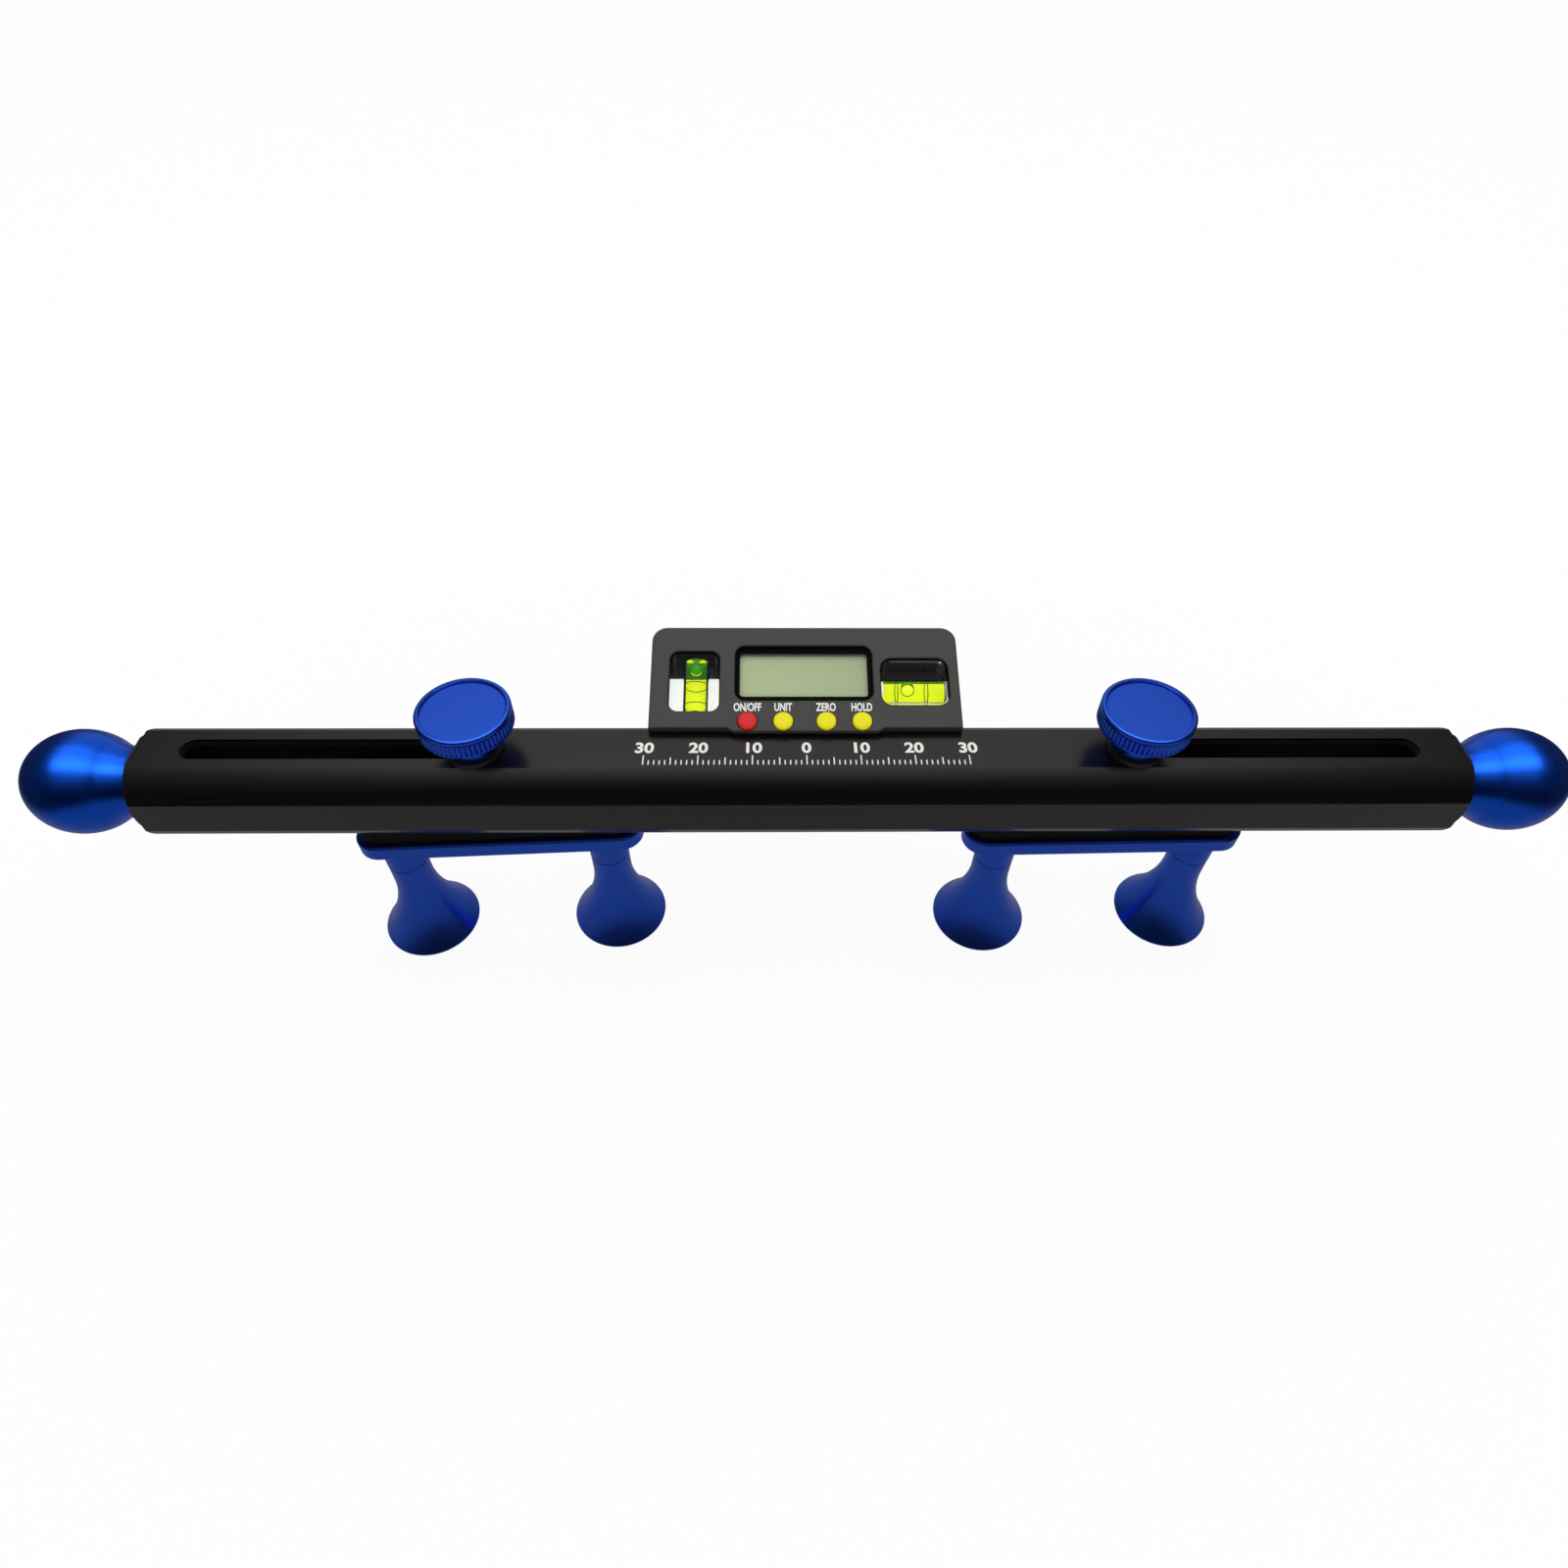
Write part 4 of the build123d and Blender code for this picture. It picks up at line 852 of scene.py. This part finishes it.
def tick_marks(name, places, lengths, width, foot, material):
    """Straight marks as thin plates: one box per mark, its corners worked out together. Each
    stands on its foot, with half its width to each side of its place."""
    corner = np.array([(x, y, z) for x in (-0.5, 0.5) for y in (0, 1) for z in (0, 1)])
    each = np.ones(len(places))
    sizes = np.stack([each * width, lengths, each * settings("print").ink_depth], axis=1)
    feet = np.stack([places, each * foot, each * FLAT_CENTRE[2]], axis=1)
    points = feet[:, None, :] + sizes[:, None, :] * corner[None, :, :]
    box = np.array([(0, 1, 3, 2), (4, 6, 7, 5), (0, 4, 5, 1), (2, 3, 7, 6), (0, 2, 6, 4), (1, 5, 7, 3)])
    faces = box[None, :, :] + len(corner) * np.arange(len(places))[:, None, None]
    return mesh_piece(name, points.reshape(-1, 3), faces.reshape(-1, 4), material, "bar")


class LEVEL_OT_bar_scale(bpy.types.Operator):
    """Prints a plain scale with zero in its middle on the bar's top flat"""
    bl_idname = "wheel_level.bar_scale"
    bl_label = "Bar scale"

    def execute(self, context):
        white = bpy.data.materials[INK]
        marks = settings("print")
        half = marks.scale_half
        count = NUMBER_STEP * marks.scale_steps
        places = np.linspace(-half, half, 2 * count + 1)
        index = np.abs(np.arange(-count, count + 1))
        lengths = np.where(index % 5 == 0, FIVE_MARK, ONE_MARK)
        lengths[index % NUMBER_STEP == 0] = TEN_MARK
        foot = FLAT_CENTRE[1] - SCALE_FOOT
        tick_marks("scale_marks", places, lengths, marks.mark_width, foot, white)
        up = np.array((0.0, 1.0, 0.0))
        rise = FLAT_CENTRE[2] + marks.ink_depth / 2
        for step in range(-marks.scale_steps, marks.scale_steps + 1):
            middle = np.array((half * step / marks.scale_steps, foot + NUMBER_RISE, rise))
            name = f"scale_number_{step + marks.scale_steps}"
            place = turn_to(ALONG, up, middle)
            printed_word(name, str(NUMBER_STEP * abs(step)), marks.number_height, place, white)
        return {"FINISHED"}


def turned(angle):
    """The matrix that turns about the third axis."""
    cosine, sine = math.cos(angle), math.sin(angle)
    return np.array(((cosine, -sine, 0), (sine, cosine, 0), (0, 0, 1)))


def photo_camera():
    """Where the photograph was taken from: the world's axes are turned by yaw, then tipped
    down by pitch, then rolled, and the camera stands off along its own axes."""
    pitch, yaw, roll = (math.radians(angle) for angle in CAMERA_TURNS)
    tip = np.array(((1, 0, 0),
                    (0, -math.sin(pitch), -math.cos(pitch)),
                    (0, math.cos(pitch), -math.sin(pitch))))
    view = turned(roll) @ tip @ turned(yaw)
    place = FLAT_CENTRE - view.T @ (np.array(CAMERA_STAND_OFF) * MM)
    return turn_to(view[0], -view[1], place)


def studio_floor_paint():
    """Matt white sheet: shows nearly pure white to the camera and through clear pieces,
    keeps the tool's shadow, and is mirrored by gloss as a dimmer floor."""
    material = bpy.data.materials.new("backdrop board, matt white")
    tree = empty_tree(material)
    path = add(tree, "ShaderNodeLightPath").outputs
    looked = maths(tree, "MAXIMUM", path["Is Camera Ray"], path["Is Transmission Ray"])
    white = maths(tree, "MULTIPLY", looked, FLOOR_WHITE)
    share = maths(tree, "MAXIMUM", white, path["Is Glossy Ray"])
    place = add(tree, "ShaderNodeTexCoord").outputs["Object"]
    across = add(tree, "ShaderNodeSeparateXYZ", {"Vector": place}).outputs["X"]
    mirrored = mapped(tree, maths(tree, "ABSOLUTE", across), FLOOR_FADE,
                      (settings("studio").floor_shine, FLOOR_REST), "SMOOTHSTEP")
    strength = blend(tree, path["Is Glossy Ray"], 1.0, mirrored, "FLOAT")
    board = add(tree, "ShaderNodeBsdfDiffuse", {"Color": linear("#fbfbfb")})
    light = add(tree, "ShaderNodeEmission", {"Color": (1, 1, 1, 1), "Strength": strength})
    mix = add(tree, "ShaderNodeMixShader", {0: share, 1: board.outputs["BSDF"], 2: light.outputs["Emission"]})
    add(tree, "ShaderNodeOutputMaterial", {"Surface": mix.outputs["Shader"]})
    return material


def studio_lamp(name, power, size, place, target):
    """A rectangular softbox that faces a point."""
    lamp = bpy.data.lights.new(name, "AREA")
    lamp.shape = "RECTANGLE"
    lamp.size, lamp.size_y = size
    lamp.energy = power
    holder = shown(name, lamp)
    holder.location = place
    holder.rotation_euler = (Vector(target) - Vector(place)).to_track_quat("-Z", "Y").to_euler()
    return holder


def studio_world():
    """A plain room: white to the camera and even in its light. Gloss mirrors it bright
    above and behind the tool and dark in front, from the horizon up, as in a studio."""
    studio = settings("studio")
    world = bpy.data.worlds.new("studio")
    tree = empty_tree(world)
    direction = add(tree, "ShaderNodeTexCoord").outputs["Generated"]
    parts = add(tree, "ShaderNodeSeparateXYZ", {"Vector": direction}).outputs
    walls = mapped(tree, parts["Y"], WALL_FADE, (0.0, studio.room_shine), "SMOOTHSTEP")
    sides = mapped(tree, maths(tree, "ABSOLUTE", parts["X"]), SIDE_FADE, (1.0, SIDE_REST), "SMOOTHSTEP")
    path = add(tree, "ShaderNodeLightPath").outputs
    mirrored = maths(tree, "MULTIPLY", walls, sides)
    room = blend(tree, path["Is Glossy Ray"], studio.room_light, mirrored, "FLOAT")
    seen = blend(tree, path["Is Camera Ray"], room, 1.0, "FLOAT")
    light = add(tree, "ShaderNodeBackground", {"Color": (1, 1, 1, 1), "Strength": seen})
    add(tree, "ShaderNodeOutputWorld", {"Surface": light.outputs["Background"]})
    return world


class LEVEL_OT_studio(bpy.types.Operator):
    """Sets up the floor, lamps, room and camera"""
    bl_idname = "wheel_level.studio"
    bl_label = "Studio"

    def execute(self, context):
        studio = settings("studio")
        side, front, back = studio.floor_side, studio.floor_front, studio.floor_back
        points = np.array([(-side, -front, 0), (side, -front, 0), (side, back, 0), (-side, back, 0)])
        mesh = bpy.data.meshes.new("floor")
        mesh.from_pydata(points.tolist(), [], [(0, 1, 2, 3)])
        mesh.materials.append(studio_floor_paint())
        floor = shown("floor", mesh)
        studio_lamp("softbox", studio.softbox_power, **SOFTBOX)
        strip = studio_lamp("overhead_strip", studio.strip_power, **STRIP)
        strip.light_linking.receiver_collection = bpy.data.collections.new("polished parts")
        for node in both("ball", "knob"):
            strip.light_linking.receiver_collection.objects.link(NODES[node])
        context.scene.world = studio_world()
        context.scene.view_settings.view_transform = "Standard"
        lens = bpy.data.cameras.new("photo_camera")
        lens.sensor_width = SENSOR
        lens.lens = SENSOR * FOCAL_PIXELS / FRAME_PIXELS
        lens.clip_start = NEAR_CLIP
        camera = shown("photo_camera", lens)
        camera.matrix_world = photo_camera()
        context.scene.camera = camera
        return {"FINISHED"}


class LEVEL_PT_panel(bpy.types.Panel):
    """Lists the pieces and their settings"""
    bl_idname = "LEVEL_PT_panel"
    bl_label = "Wheel level"
    bl_space_type = "VIEW_3D"
    bl_region_type = "UI"
    bl_category = "Wheel level"

    def draw(self, context):
        for operator in OPERATORS:
            self.layout.operator(operator.bl_idname)
        for name in GROUPS:
            group = settings(name)
            box = self.layout.box()
            for prop in group.bl_rna.properties:
                if prop.identifier not in ("rna_type", "name"):
                    box.prop(group, prop.identifier)


GROUPS = {"finish": FinishSettings, "print": PrintSettings, "vials": VialSettings,
          "display": DisplaySettings, "screws": ScrewSettings, "studio": StudioSettings}
OPERATORS = (LEVEL_OT_bar, LEVEL_OT_brackets, LEVEL_OT_case, LEVEL_OT_case_screws, LEVEL_OT_vials,
             LEVEL_OT_display_border, LEVEL_OT_labels, LEVEL_OT_bar_scale, LEVEL_OT_studio)


def register():
    for one in (*GROUPS.values(), *OPERATORS, LEVEL_PT_panel):
        bpy.utils.register_class(one)
    for name, group in GROUPS.items():
        setattr(bpy.types.Scene, "wheel_level_" + name, PointerProperty(type=group))


def unregister():
    for name in GROUPS:
        delattr(bpy.types.Scene, "wheel_level_" + name)
    for one in reversed((*GROUPS.values(), *OPERATORS, LEVEL_PT_panel)):
        bpy.utils.unregister_class(one)


def main():
    register()
    for operator in OPERATORS:
        group, name = operator.bl_idname.split(".")
        getattr(getattr(bpy.ops, group), name)()


if __name__ == "__main__":
    main()
